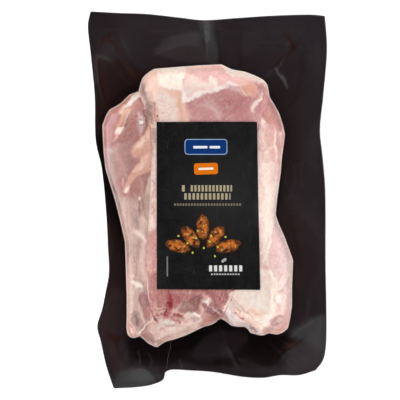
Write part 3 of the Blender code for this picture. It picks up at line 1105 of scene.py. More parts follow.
@dataclass
class Drumstick:
    """One drumstick, drawn between a left and a right rail and rounded where it meets its neighbours."""

    name: str
    left_rail: Array
    right_rail: Array
    flesh: Look
    stations: int = 270
    across_top: int = 150
    across_base: int = 36
    wall: int = 7
    end_crowding: float = 0.4
    side_crowding: float = 0.55
    gap: float = 0.01
    most_inset: float = 0.3
    raised_tip: float = 0.0
    sharp_angle: float = 50.0
    least_thickness: float = 0.3
    # Painted highlight: a thin white rim along the outline, and how far in it reaches.
    painted_rim_highlight: float = 0.85
    painted_rim_reach: Pair = (0.3, 1.1)
    # Painted light: a lift of the colour against the shade of the steep shoulder, and how far in it reaches.
    painted_shoulder_light: float = 0.16
    painted_shoulder_reach: Pair = (0.5, 3.6)

    @property
    def territory(self) -> Array:
        """The closed plan outline between the two rails."""
        return np.vstack([self.left_rail[::3], self.right_rail[::-3]])

    def plan(self, count: int) -> tuple[Array, Array]:
        """Plan positions of every station: points on a straight line from the left rail to the right one.

        The stations are closer near both ends, and their points closer near the rails.

        Args:
            count: Points across.

        Returns:
            Positions across and along, both of shape (stations, count).
        """
        share = crowded(self.stations, self.end_crowding)
        left, right = at_shares(self.left_rail, share), at_shares(self.right_rail, share)
        width = np.linalg.norm(right - left, axis=1)[:, None]
        inset = np.minimum(self.gap / np.maximum(width, 1e-6), self.most_inset)
        step = inset + (1.0 - 2.0 * inset) * crowded(count, self.side_crowding)
        x = left[:, :1] + step * (right - left)[:, :1]
        y = left[:, 1:] + step * (right - left)[:, 1:]
        return x, y

    def build(self, block: BlockForm) -> bpy.types.Object:
        """Lofts the drumstick: upper side, right wall, underside and left wall make one ring a station.

        Its walls and the skin near the pressed outline are lightened by painted light: a painted lift against
        the shade on the steep shoulder, and a painted white highlight along the rim.

        Args:
            block: Heights of the pressed block.

        Returns:
            The piece, with its tissue attributes.
        """
        top_x, top_y = self.plan(self.across_top)
        base_x, base_y = self.plan(self.across_base)
        risen = self.flesh.risen(top_x.ravel(), top_y.ravel()).reshape(top_x.shape)
        top_z = block.meat_top(top_x, top_y, risen)
        highest = block.meat_top(base_x, base_y, 0.0) - self.least_thickness
        base_z = np.minimum(block.meat_base(base_x, base_y), highest)
        base_z = self._tip_raised(base_x, base_y, top_z, base_z)
        rise = np.linspace(0.0, 1.0, self.wall + 2)[1:-1]
        right = self._wall(top_x[:, -1:], top_y[:, -1:], top_z[:, -1:], base_z[:, -1:], rise)
        left = self._wall(top_x[:, :1], top_y[:, :1], base_z[:, :1], top_z[:, :1], rise)
        top = np.stack([top_x, top_y, top_z], axis=-1)
        base = np.stack([base_x, base_y, base_z], axis=-1)[:, ::-1]
        rings = np.concatenate([top, right, base, left], axis=1)
        piece = self._skinned(rings)
        piece.data.set_sharp_from_angle(angle=math.radians(self.sharp_angle))
        flat = np.empty(3 * len(piece.data.vertices), dtype=np.float32)
        piece.data.vertices.foreach_get("co", flat)
        x, y = (flat.reshape(-1, 3)[:, :2].astype(float) / MM).T
        colour, surface = self.flesh.painted(x, y)
        depth = block.depth(x, y)
        # Painted light: colour lifted on the shoulder, where the steep slope renders darker.
        colour *= 1.0 + self.painted_shoulder_light * (1.0 - smoothstep(*self.painted_shoulder_reach, depth))[:, None]
        # Painted highlight: a thin white rim along the outline.
        edge = self.painted_rim_highlight * (1.0 - smoothstep(*self.painted_rim_reach, depth))
        colour += edge[:, None] * (WHITE.colour - colour)
        colour = np.minimum(colour, WHITE.colour)
        add_colours(piece, "tissue", colour)
        add_colours(piece, "surface", surface)
        return piece

    def _tip_raised(self, x: Array, y: Array, top: Array, base: Array) -> Array:
        """Underside drawn up towards the upper side at a tip that lies inside the block."""
        if not self.raised_tip:
            return base
        tip = (self.left_rail[-1] + self.right_rail[-1]) / 2
        swell = quarter_ellipse(np.hypot(x - tip[0], y - tip[1]), self.raised_tip)
        level = self._resampled(top, base.shape[1]) - self.least_thickness
        return level + (base - level) * swell

    @staticmethod
    def _resampled(values: Array, count: int) -> Array:
        """Values along each row at another number of points."""
        columns = np.linspace(0, values.shape[1] - 1, count)
        low = np.floor(columns).astype(int)
        high = np.minimum(low + 1, values.shape[1] - 1)
        return values[:, low] + (values[:, high] - values[:, low]) * (columns - low)

    @staticmethod
    def _wall(x: Array, y: Array, start: Array, end: Array, rise: Array) -> Array:
        """Points of a wall between two levels, at shares of the way."""
        level = start + (end - start) * rise
        return np.stack([np.broadcast_to(x, level.shape), np.broadcast_to(y, level.shape), level], axis=-1)

    def _skinned(self, rings: Array) -> bpy.types.Object:
        """Closed piece over the rings, with the first and the last ring drawn to points."""
        body = rings[1:-1]
        count, around = body.shape[:2]
        tips = np.stack([rings[0].mean(axis=0), rings[-1].mean(axis=0)])
        vertices = np.vstack([body.reshape(-1, 3), tips])
        turn = np.arange(around)
        following = (turn + 1) % around
        last = (count - 1) * around
        first_fan = np.column_stack([np.full(around, count * around), following, turn])
        last_fan = np.column_stack([np.full(around, count * around + 1), last + turn, last + following])
        return make_piece(self.name, vertices, ring_quads(count, around), np.vstack([first_fan, last_fan]))


# ---- Films ----


@dataclass(frozen=True)
class Tent:
    """A flat-sided bulge of the film: its plan corners, its peak and the peak's height."""

    corners: Route
    peak: Pair
    height: float

    def at(self, x: Array, y: Array) -> Array:
        """Height at plan positions: a pyramid with a plane from each side of the outline to the peak."""
        corners = np.array(self.corners, dtype=float)
        level = np.full(np.shape(x), np.inf)
        for (x0, y0), (x1, y1) in zip(corners, np.roll(corners, -1, axis=0)):
            across, up = -(y1 - y0), x1 - x0
            full = (self.peak[0] - x0) * across + (self.peak[1] - y0) * up
            level = np.minimum(level, ((x - x0) * across + (y - y0) * up) / full)
        return self.height * np.clip(level, 0.0, 1.0)


@dataclass(frozen=True)
class Fold:
    """A sharp line in the film: its route, height and half-width."""

    route: Route
    height: float
    width: float

    def at(self, x: Array, y: Array) -> Array:
        """Height at plan positions: a ridge with straight sides, faded at both ends."""
        distance, along = nearest_on(spline(self.route, 30), x, y)
        ends = np.sqrt(np.clip(1.0 - (2.0 * along - 1.0) ** 4, 0.0, 1.0))
        return self.height * ends * np.clip(1.0 - distance / self.width, 0.0, 1.0)


@dataclass
class PouchForm:
    """Plan grid of the two films and the relief that they share."""

    block: BlockForm
    drumsticks: tuple[Drumstick, ...]
    tents: tuple[Tent, ...]
    folds: tuple[Fold, ...]
    around: int = 640
    trim: float = 0.5
    tooth_depth: float = 0.45
    bridge: float = 4.5
    fillet: float = 0.7
    crowding: float = 1.25
    slack: Ripple = Ripple(0.22, 26.0, 101)
    crinkle: Ripple = Ripple(0.02, 3.2, 151, 1)
    film_grain: Ripple = Ripple(0.05, 5.0, 181)
    pucker: Pull = Pull(0.16, 34.0, 0.12, 5.0, 131)
    pull: Pull = Pull(0.06, 42.0, 0.05, 4.0, 171, 3.0)
    relief_fade: float = 5.0
    film_lift: float = 0.2
    rim_lift: float = 0.3
    nowhere: float = -50.0

    @cached_property
    def outline(self) -> Array:
        """The pouch's cut edge at twice the grid's spokes, moved out by the trim; edge() draws every second
        point in to make its teeth.
        """
        edges = (TOP_EDGE, RIGHT_EDGE, BOTTOM_EDGE, LEFT_EDGE)
        lengths = [np.linalg.norm(np.diff(spline(edge, 40), axis=0), axis=1).sum() for edge in edges]
        counts = [round(self.around * length / sum(lengths)) for length in lengths]
        counts[-1] = self.around - sum(counts[:-1])
        loop = np.vstack([spline(edge, 2 * count + 1)[:-1] for edge, count in zip(edges, counts)])
        along = np.roll(loop, -3, axis=0) - np.roll(loop, 3, axis=0)
        outward = np.column_stack([-along[:, 1], along[:, 0]]) / np.linalg.norm(along, axis=1)[:, None]
        return loop + self.trim * outward

    @cached_property
    def radius_of_contents(self) -> tuple[Array, Array]:
        """Bearing and distance from the block's centre of the contents' outline, in order of bearing."""
        loop = self.block.loop[:-1] - BLOCK_CENTRE
        bearing = np.arctan2(loop[:, 1], loop[:, 0])
        order = np.argsort(bearing)
        return bearing[order], np.hypot(loop[order, 0], loop[order, 1])

    def rings(self, shares_in: Array, count_out: int) -> Array:
        """Rings from the block's centre to its outline, and on to the ring before the pouch's edge.

        Args:
            shares_in: Shares of the way from the centre to the contents' outline.
            count_out: Number of rings between there and the pouch's edge, closer near the contents.

        Returns:
            Plan positions, shape (rings, spokes, 2).
        """
        spokes = self.outline[::2] - BLOCK_CENTRE
        unit = spokes / np.linalg.norm(spokes, axis=1)[:, None]
        bearing, radius = self.radius_of_contents
        towards = np.arctan2(unit[:, 1], unit[:, 0])
        inner = unit * np.interp(towards, bearing, radius, period=2 * np.pi)[:, None]
        shares_out = np.linspace(0.0, 1.0, count_out + 2)[1:-1] ** self.crowding
        inside = shares_in[:, None, None] * inner
        outside = inner + shares_out[:, None, None] * (spokes - inner)
        return np.concatenate([inside, outside]) + BLOCK_CENTRE

    def edge(self) -> Array:
        """The cut edge with its fine teeth, shape (2 * spokes, 2)."""
        teeth = self.outline.copy()
        inward = BLOCK_CENTRE - teeth[1::2]
        teeth[1::2] += self.tooth_depth * inward / np.linalg.norm(inward, axis=1)[:, None]
        return teeth

    def relief(self, x: Array, y: Array) -> Array:
        """Height of the rim's tents, folds and puckers, faded out at the contents."""
        outside = np.maximum(-self.block.depth(x, y), 0.0)
        level = sum(tent.at(x, y) for tent in self.tents)
        level = level + sum(fold.at(x, y) for fold in self.folds)
        level = level + self.slack.at(x, y)
        level = (level + self.pucker.at(x, y, outside)) * smoothstep(0.0, self.relief_fade, outside)
        return level + self.crinkle.at(x, y)

    def meat_rise(self, x: Array, y: Array) -> Array:
        """Height of the flesh's features: inside each drumstick's rails, those of its own flesh."""
        height = np.zeros(np.shape(x))
        for stick in self.drumsticks:
            own = inside_loop(stick.territory, x, y)
            height[own] = stick.flesh.risen(x[own], y[own])
        return height

    @cached_property
    def drawn_raster(self) -> Raster:
        """Height of the clear film's inner side: it bridges the creases, and lies on the rim outside."""
        raster, x, y = Raster.over(*PLAN_HALF, self.block.raster_step)
        depth = self.block.depth(x, y)
        lying = self.block.rim(x, y) + FILM_THICKNESS + self.rim_lift
        meat = np.where(depth > 0.0, self.block.meat_top(x, y, self.meat_rise(x, y)), self.nowhere)
        bridged = raster.filled(meat).closed(self.bridge).values
        both = raster.filled(np.maximum(np.where(depth > 0.0, bridged, self.nowhere), lying))
        return both.closed(self.fillet).softened(1)

    def drawn(self, x: Array, y: Array) -> Array:
        """Height of the clear film's inner side, with the rim's relief and the film's own fine pull lines."""
        depth = self.block.depth(x, y)
        fine = np.maximum(self.pull.at(x, y, depth), 0.0) + np.maximum(self.film_grain.at(x, y), 0.0)
        tight = self.drawn_raster.at(x, y) + self.film_lift + fine
        return tight + np.where(depth < 0.0, self.relief(x, y), 0.0)


def ring_shell(name: str, rings: Array, edge: Array, upper: Array, lower: Array) -> bpy.types.Object:
    """A closed shell over plan rings: an upper and a lower side, joined round a toothed edge.

    Each side has a fan at its middle, quads between its rings, and three triangles for each spoke where
    the last ring meets the edge, which has twice as many points.

    Args:
        name: Name of the piece.
        rings: Plan positions, shape (rings, spokes, 2).
        edge: Plan positions of the edge, shape (2 * spokes, 2).
        upper: Heights of the upper side, rings first and then the edge, flat.
        lower: Heights of the lower side, in the same order.

    Returns:
        The piece.
    """
    count, around = rings.shape[:2]
    plan = np.vstack([rings.reshape(-1, 2), edge])
    size = len(plan)
    middle = [[*rings[0].mean(axis=0), level[:around].mean()] for level in (upper, lower)]
    vertices = np.vstack([np.column_stack([plan, upper]), np.column_stack([plan, lower]), middle])
    side = ring_quads(count, around)[:, [0, 3, 2, 1]]
    spoke = np.arange(around)
    following = (spoke + 1) % around
    last, first_tooth = (count - 1) * around, count * around
    tooth, gap = first_tooth + 2 * spoke, first_tooth + 2 * spoke + 1
    next_tooth = first_tooth + 2 * following
    fans = np.vstack([
        np.column_stack([last + spoke, tooth, gap]),
        np.column_stack([last + spoke, gap, last + following]),
        np.column_stack([last + following, gap, next_tooth]),
    ])
    hub = np.column_stack([np.full(around, 2 * size), spoke, following])
    under_hub = np.column_stack([np.full(around, 2 * size + 1), size + following, size + spoke])
    rim = first_tooth + np.arange(2 * around)
    rim_next = first_tooth + (np.arange(2 * around) + 1) % (2 * around)
    wall = np.column_stack([rim, size + rim, size + rim_next, rim_next])
    quads = np.vstack([side, size + side[:, ::-1], wall])
    return make_piece(name, vertices, quads, np.vstack([fans, size + fans[:, ::-1], hub, under_hub]))


class Finish(Protocol):
    """Anything that builds its own material."""

    def material(self) -> bpy.types.Material:
        """Builds the material."""


@dataclass
class Sheet:
    """A thin piece of the pack's wrapping, over the form of the pouch."""

    form: PouchForm
    finish: Finish

    def dress(self, piece: bpy.types.Object) -> None:
        """Gives the piece its finish."""
        piece.data.materials.append(self.finish.material())


@dataclass
class ClearFilm(Sheet):
    """The clear upper film, drawn down over the drumsticks and sealed to the back film."""

    finish: ClearFilmFinish = ClearFilmFinish()
    thickness: float = 0.12
    first_ring: float = 0.06
    label_ring: float = 0.54
    shoulder_ring: float = 0.56
    shoulder_crowding: float = 0.85
    rings_under_label: int = 6
    rings_inside: int = 36
    rings_outside: int = 30

    def build(self) -> bpy.types.Object:
        """Makes the film's closed shell: few rings under the label, closer ones to the contents' outline."""
        inner = np.linspace(self.first_ring, self.label_ring, self.rings_under_label)
        steps = np.linspace(0.0, 1.0, self.rings_inside) ** self.shoulder_crowding
        shoulder = self.shoulder_ring + (1.0 - self.shoulder_ring) * steps
        rings = self.form.rings(np.concatenate([inner, shoulder]), self.rings_outside)
        edge = self.form.edge()
        plan = np.vstack([rings.reshape(-1, 2), edge])
        lower = self.form.drawn(plan[:, 0], plan[:, 1])
        return ring_shell("clear_film", rings, edge, lower + self.thickness, lower)


@dataclass
class BlackFilm(Sheet):
    """The black back film: rounded under the block, flat on the floor, and creased round its rim."""

    finish: BlackFilmFinish = BlackFilmFinish()
    thickness: float = 0.22
    first_ring: float = 0.12
    rings_flat: int = 4
    rings_rounded: int = 12
    rounded_share: float = 0.34
    rings_outside: int = 56
    contact_shade: float = 0.6
    contact_reach: float = 1.3
    hub_depth: float = 9.0

    def build(self) -> bpy.types.Object:
        """Makes the film's closed shell, darkened where it meets the contents.

        The rings under the block are closer where the film rounds up, as a quarter ellipse's steps are.

        Returns:
            The piece, with its tone and haze attributes.
        """
        turn = np.linspace(0.5 * np.pi, 0.0, self.rings_rounded)
        flat = np.linspace(self.first_ring, 1.0 - self.rounded_share, self.rings_flat + 1)[:-1]
        inside = np.concatenate([flat, 1.0 - self.rounded_share * (1.0 - np.cos(turn))])
        rings = self.form.rings(inside, self.rings_outside)
        edge = self.form.edge()
        plan = np.vstack([rings.reshape(-1, 2), edge])
        x, y = plan[:, 0], plan[:, 1]
        depth = self.form.block.depth(x, y)
        lower = self.form.block.underside(x, y) + np.where(depth < 0.0, self.form.relief(x, y), 0.0)
        lower = np.maximum(lower, 0.0)
        piece = ring_shell("black_film", rings, edge, lower + self.thickness, lower)
        middle = rings[0].mean(axis=0)
        tone, haze = FILM_LOOK.painted(*np.vstack([plan, plan, middle, middle]).T)
        away = np.abs(np.concatenate([depth, depth, [self.hub_depth, self.hub_depth]]))
        tone *= (1.0 - self.contact_shade * np.exp(-away / self.contact_reach))[:, None]
        add_colours(piece, "tone", tone)
        add_colours(piece, "haze", haze)
        return piece


# ---- Relief of the sealed rim ----

TENTS = (
    # Upper side: a wide three-sided facet, an upright band beside it, and the corners' slack.
    Tent(((-70, 119), (-36, 90), (-1, 92), (-3, 112), (-40, 118)), (-14, 100), 1.1),
    Tent(((-1, 88), (10, 88), (9, 114), (-2, 114)), (1, 101), 0.75),
    Tent(((14, 90), (44, 80), (60, 116), (18, 115)), (50, 100), 0.8),
    Tent(((-74, 70), (-48, 76), (-58, 112), (-74, 116)), (-60, 92), 0.75),
    # Right side.
    Tent(((50, 72), (72, 60), (74, 112), (60, 100)), (66, 92), 0.65),
    Tent(((46, 10), (70, 14), (72, 56), (54, 50)), (60, 34), 0.55),
    Tent(((52, -20), (74, -30), (74, 4), (48, 6)), (60, -10), 0.6),
    Tent(((58, -70), (74, -72), (74, -38), (58, -40)), (66, -54), 0.6),
    # Lower side.
    Tent(((44, -92), (58, -76), (74, -74), (72, -104), (56, -110)), (64, -88), 1.2),
    Tent(((4, -84), (28, -90), (50, -92), (52, -111), (10, -111)), (20, -101), 0.8),
    Tent(((-28, -97), (-8, -88), (2, -84), (4, -108), (-24, -108)), (-12, -96), 0.75),
    Tent(((-58, -117), (-52, -94), (-36, -98), (-32, -116)), (-42, -106), 1),
    # Left side.
    Tent(((-68, -88), (-56, -92), (-54, -50), (-64, -58)), (-60, -76), 0.55),
    Tent(((-64, -50), (-55, -46), (-56, -10), (-64, -14)), (-60, -30), 0.45),
)

FOLDS = (
    Fold(((-71, 92), (-60, 86), (-50, 76), (-45, 72)), 0.55, 2.6),
    Fold(((-66, 104), (-56, 92), (-48, 80), (-44, 73)), 0.45, 2.0),
    Fold(((-58, 112), (-50, 96), (-43, 84)), 0.35, 1.8),
    Fold(((-36, 90), (-26, 96), (-14, 99), (-2, 98)), 0.25, 1.6),
    Fold(((-1, 113), (0, 100), (0.5, 90)), 0.3, 1.2),
    Fold(((8, 113), (8, 100), (9, 90)), 0.25, 1.2),
    Fold(((-68, 109), (-30, 109), (20, 108.5), (68, 108)), -0.17, 0.9),
    Fold(((37, 76), (44, 86), (54, 99)), 0.45, 2.2),
    Fold(((54, 99), (62, 108), (66, 114)), 0.4, 1.6),
    Fold(((54, 99), (64, 96), (72, 98)), 0.35, 1.6),
    Fold(((43, 85), (47, 78), (50, 72)), 0.3, 1.3),
    Fold(((34, 100), (44, 100), (54, 99)), 0.3, 1.6),
    Fold(((48, 54), (58, 64), (70, 74)), 0.3, 1.8),
    Fold(((49, 20), (60, 24), (71, 20)), 0.25, 1.6),
    Fold(((46, -2), (56, -6), (70, -2)), 0.25, 1.6),
    Fold(((56, -42), (62, -60), (64, -80)), 0.25, 1.6),
    Fold(((52, -82), (60, -78), (72, -76)), 0.35, 1.6),
    Fold(((46, -88), (56, -94), (64, -104)), 0.45, 2.0),
    Fold(((40, -90), (50, -100), (58, -110)), 0.35, 1.8),
    Fold(((54, -90), (52, -98), (56, -103)), 0.3, 1.2),
    Fold(((10, -82), (14, -94), (20, -108)), 0.35, 1.8),
    Fold(((-10, -88), (-14, -98), (-12, -108)), 0.3, 1.8),
    Fold(((-33, -97), (-34, -106), (-30, -113)), 0.35, 1.6),
    Fold(((-50, -88), (-56, -94), (-62, -97)), 0.45, 2.0),
    Fold(((-47, -91), (-52, -100), (-56, -112)), 0.4, 1.8),
    Fold(((-53, -60), (-60, -64), (-66, -72)), 0.25, 1.6),
    Fold(((-66, 20), (-68, 36), (-67, 50)), 0.25, 1.4),
    Fold(((-65, 60), (-69, 74), (-71, 92)), 0.3, 1.6),
)


# ---- The black film's tones, with its painted sheen and shade ----

FILM_LOOK = Look(FilmTone.PLUM, (
    # Broad shades: brown towards the contents, dark down the left and along the lower side.
    Patch(FilmTone.PLUM_GREY, ((20, 117), (78, 120), (78, 60), (66, 62), (62, 88), (40, 96)), 6.0, 0.8),
    Patch(FilmTone.UMBER, ((-70, 90), (-54, 90), (-44, 84), (-40, 74), (-60, 60), (-70, 44), (-74, 60)),
          4.0, 0.9),
    Patch(FilmTone.UMBER, ((40, 80), (52, 76), (60, 60), (60, 30), (54, 6), (44, 0), (44, 60)), 5.0, 0.35),
    Patch(FilmTone.ROSEWOOD, ((46, -2), (60, -4), (62, -40), (58, -64), (48, -30)), 4.0, 0.6),
    Patch(FilmTone.SOOT, ((-74, 40), (-64, 44), (-54, 0), (-50, -30), (-56, -34), (-66, -10), (-70, 20)),
          6.0, 1.0),
    Patch(FilmTone.UMBER, ((-66, -14), (-50, -24), (-50, -56), (-68, -56)), 7.0, 0.7),
    Patch(FilmTone.ROSEWOOD, ((-70, -56), (-54, -58), (-56, -84), (-62, -100), (-74, -84)), 5.0, 0.9),
    Patch(FilmTone.SOOT, ((-50, -84), (-34, -92), (8, -74), (30, -84), (52, -86), (54, -96), (44, -106),
                          (10, -108), (-20, -107), (-34, -106), (-48, -102)), 4.0, 1.0),
    Patch(FilmTone.PLUM, ((-24, -106), (0, -106), (24, -109), (60, -106), (60, -118), (-24, -116)), 2.0,
          0.8),
    # Upper side: the three-sided facet and the upright band with its seal, in painted grey sheen, and the
    # lines beside them.
    Patch(FilmTone.PLUM_SHEEN, ((-35, 95), (-26, 104), (-14, 107), (-6, 107), (-2, 98), (1, 88), (-8, 88),
                               (-22, 90.5), (-31, 93)), 1.2, 0.95),
    Patch(FilmTone.GREY_SHEEN, ((-30, 97), (-14, 105), (-6, 106), (-8, 99), (-18, 97)), 2.5, 0.35),
    Patch(FilmTone.GREY_SHEEN, ((-5, 115), (4, 115), (3.5, 108), (6, 98), (6.5, 87), (0, 87), (-1, 99), (-4, 107)),
          1.4, 0.75),
    Streak(FilmTone.LIGHT_SHEEN, ((-1, 115), (0, 109.5), (1, 103)), (1.6, 1.6, 0.8), 1.0, 0.7),
    Streak(FilmTone.PLUM_DARK, ((6.5, 107), (8, 98), (8.5, 87)), (0.8, 1.2, 1.2), 1.6, 0.6),
    Streak(FilmTone.PLUM_SHEEN, ((-72, 109.6), (-30, 109.4), (20, 109), (70, 108.5)), (0.3,), 0.5, 0.5),
    Streak(FilmTone.UMBER, ((21, 108), (20.6, 98), (21.5, 86)), (0.4, 0.5, 0.7), 1.0, 0.8),
    Patch(FilmTone.PLUM_SHEEN, ((22, 107), (34, 106), (32, 96), (23, 94)), 3.0, 0.35),
    # Brown creases at the upper corners, with painted highlights along some of them.
    Streak(FilmTone.RUST, ((-57, 109), (-66, 104), (-60, 100), (-54, 89), (-47.5, 82), (-42, 77)),
           (0.5, 1.3, 0.9, 0.6, 0.8, 1.0), 1.0, 0.85),
    Streak(FilmTone.RUST, ((-68, 99), (-66, 104), (-62, 106)), (0.8, 1.2, 0.5), 1.0, 0.7),
    Streak(FilmTone.RUST, ((-50, 86), (-44, 82), (-38, 81.5)), (0.5, 0.8, 0.6), 1.0, 0.6),
    Streak(FilmTone.PLUM_SHEEN, ((-60, 96), (-53, 86), (-46, 79)), (0.2, 0.35, 0.2), 0.6, 0.5),
    Streak(FilmTone.PLUM_SHEEN, ((-56, 92), (-48, 83), (-42, 80)), (0.2, 0.35, 0.2), 0.6, 0.35),
    Streak(FilmTone.RUST, ((-71, 92), (-67, 77), (-63, 61)), (0.6, 1.0, 1.4), 1.6, 0.8),
    Patch(FilmTone.SOOT, ((-58, 68), (-46, 74), (-44, 70), (-54, 63), (-64, 58), (-66, 46), (-69, 50)), 1.6,
          0.5),
    Streak(FilmTone.RUST, ((49, 108), (55, 98), (48, 91), (42, 83)), (0.4, 1.6, 0.7, 0.9), 1.0, 0.8),
    Streak(FilmTone.RUST, ((55, 98), (60, 101), (64, 94)), (1.4, 0.7, 0.4), 1.0, 0.6),
    Streak(FilmTone.SOOT, ((50, 95), (46, 88), (40, 84)), (0.3, 0.4, 0.3), 0.6, 0.6),
    Streak(FilmTone.UMBER, ((60, 92), (61, 84), (58, 70), (54, 60)), (1.4, 1.2, 1.0, 1.0), 2.0, 0.6),
    Streak(FilmTone.LIGHT_SHEEN, ((43.5, 85), (47.5, 79), (51.2, 72)), (0.3, 1.0, 0.4), 0.7, 0.85),
    Streak(FilmTone.GREY_SHEEN, ((43.5, 85), (40, 81.5), (36.5, 78.5)), (0.3, 0.4, 0.3), 0.6, 0.6),
    # Right side: a faint oval and lines, most of them painted sheen.
    Streak(FilmTone.PLUM_SHEEN, ((53, 24), (50.5, 17), (51, 8), (54, 4), (56, 12), (55, 22), (53, 24)),
           (0.35,), 0.7, 0.5),
    Streak(FilmTone.PLUM_SHEEN, ((61, 26), (60, 16), (61, 6)), (0.4, 0.6, 0.3), 0.8, 0.4),
    Streak(FilmTone.PLUM_SHEEN, ((49, 1), (55, 3), (64, 0)), (0.3, 0.4, 0.2), 0.7, 0.45),
    Streak(FilmTone.UMBER, ((52, -10), (56, -24), (60, -44)), (0.8, 1.4, 0.8), 1.8, 0.5),
    Streak(FilmTone.PLUM_SHEEN, ((66, -58), (64.5, -70), (60, -80)), (0.4, 0.8, 0.4), 1.4, 0.5),
    # Lower right: painted grey sheen and highlights, and the brown star of creases.
    Patch(FilmTone.GREY_SHEEN, ((53, -86), (60, -80), (76, -74), (76, -100), (69, -104), (62, -92)), 2.5, 0.9),
    Patch(FilmTone.PLUM_SHEEN, ((56, -92), (72, -96), (72, -112), (50, -113)), 3.0, 0.9),
    Streak(FilmTone.LIGHT_SHEEN, ((54, -87), (62, -81), (70, -77.5)), (0.2, 0.5, 0.3), 0.8, 0.6),
    Streak(FilmTone.RUST, ((61, -90), (53, -93), (46, -97), (42, -103)), (0.6, 1.6, 1.2, 0.4), 1.0, 0.8),
    Streak(FilmTone.RUST, ((56, -88), (53, -93), (58, -97)), (0.5, 1.0, 0.5), 0.9, 0.7),
    Streak(FilmTone.GREY_SHEEN, ((60, -95), (52, -98), (46, -104)), (0.3, 0.5, 0.3), 0.7, 0.6),
    Streak(FilmTone.GREY_SHEEN, ((57, -91), (50, -95.5)), (0.25, 0.25), 0.6, 0.5),
    # Lower side: a plum facet between black hollows, the black painted shade.
    Patch(FilmTone.BLACK, ((-18, -90), (2, -80), (10, -76), (22, -84), (10, -86), (-2, -92), (-14, -102),
                           (-22, -98)), 2.5, 0.8),
    Patch(FilmTone.BLACK, ((30, -88), (46, -90), (44, -104), (26, -106)), 4.0, 0.7),
    Patch(FilmTone.PLUM_DARK, ((-2, -88), (6, -84), (26, -86), (22, -95), (12, -101), (-3, -104),
                               (-10, -100)), 1.6, 0.85),
    Streak(FilmTone.PLUM, ((-10, -100), (4, -99), (18, -96)), (0.3, 0.6, 0.3), 1.0, 0.6),
    Streak(FilmTone.GREY_SHEEN, ((-18, -103), (-16, -107), (-17, -111)), (0.5, 0.7, 0.4), 0.7, 0.5),
    # Lower left: a brown star with fingers, painted highlight lines beside it, and painted grey sheen in the
    # corner.
    Streak(FilmTone.RUST, ((-66, -84), (-58.5, -89), (-52, -86)), (0.5, 1.6, 0.6), 1.0, 0.85),
    Streak(FilmTone.RUST, ((-58.5, -89), (-57, -97), (-54, -104)), (1.3, 1.2, 0.5), 1.2, 0.8),
    Streak(FilmTone.SOOT, ((-50, -92), (-48, -100), (-50, -108)), (1.2, 2.2, 1.2), 1.6, 0.7),
    Streak(FilmTone.PLUM_SHEEN, ((-44, -97), (-43, -103), (-45, -108)), (0.3, 0.6, 0.3), 0.7, 0.7),
    Streak(FilmTone.PLUM_SHEEN, ((-38, -98), (-36, -104), (-38, -110)), (0.3, 0.5, 0.3), 0.7, 0.6),
    Streak(FilmTone.ROSEWOOD, ((-62, -96), (-58, -106), (-56, -116)), (2.0, 3.0, 2.0), 2.5, 0.7),
    Patch(FilmTone.GREY_SHEEN, ((-58, -112), (-46, -108), (-34, -114), (-40, -120), (-60, -122)), 2.5, 0.95),
), stray=0.8)

# ---- The four drumsticks' flesh, feature by feature ----

# Dark pocket between the left and the middle drumstick: both carry it.
POCKET = Patch(WINE, ((-43.6, -59.4), (-39.4, -59.6), (-37, -65), (-34, -70), (-33.4, -73), (-36, -77),
                      (-38.6, -79), (-40.6, -76), (-41.8, -70)), 0.8, 0.8)
POCKET_EDGE = Streak(RUSSET, ((-37.6, -69), (-36.8, -73.6), (-38, -77.4)), (1.0, 1.9, 1.1), 1.3, 0.85, 0.4)

# Skin wrinkles at the upper left: the level of each, where it ends, and its strength.
WRINKLES = ((68, -25, 0.3), (65.2, -22, 0.35), (62.6, -24, 0.3), (60.4, -20.4, 0.4), (57.8, -23, 0.35),
            (55.4, -20.4, 0.45), (53, -21, 0.4), (51, -20.4, 0.45))

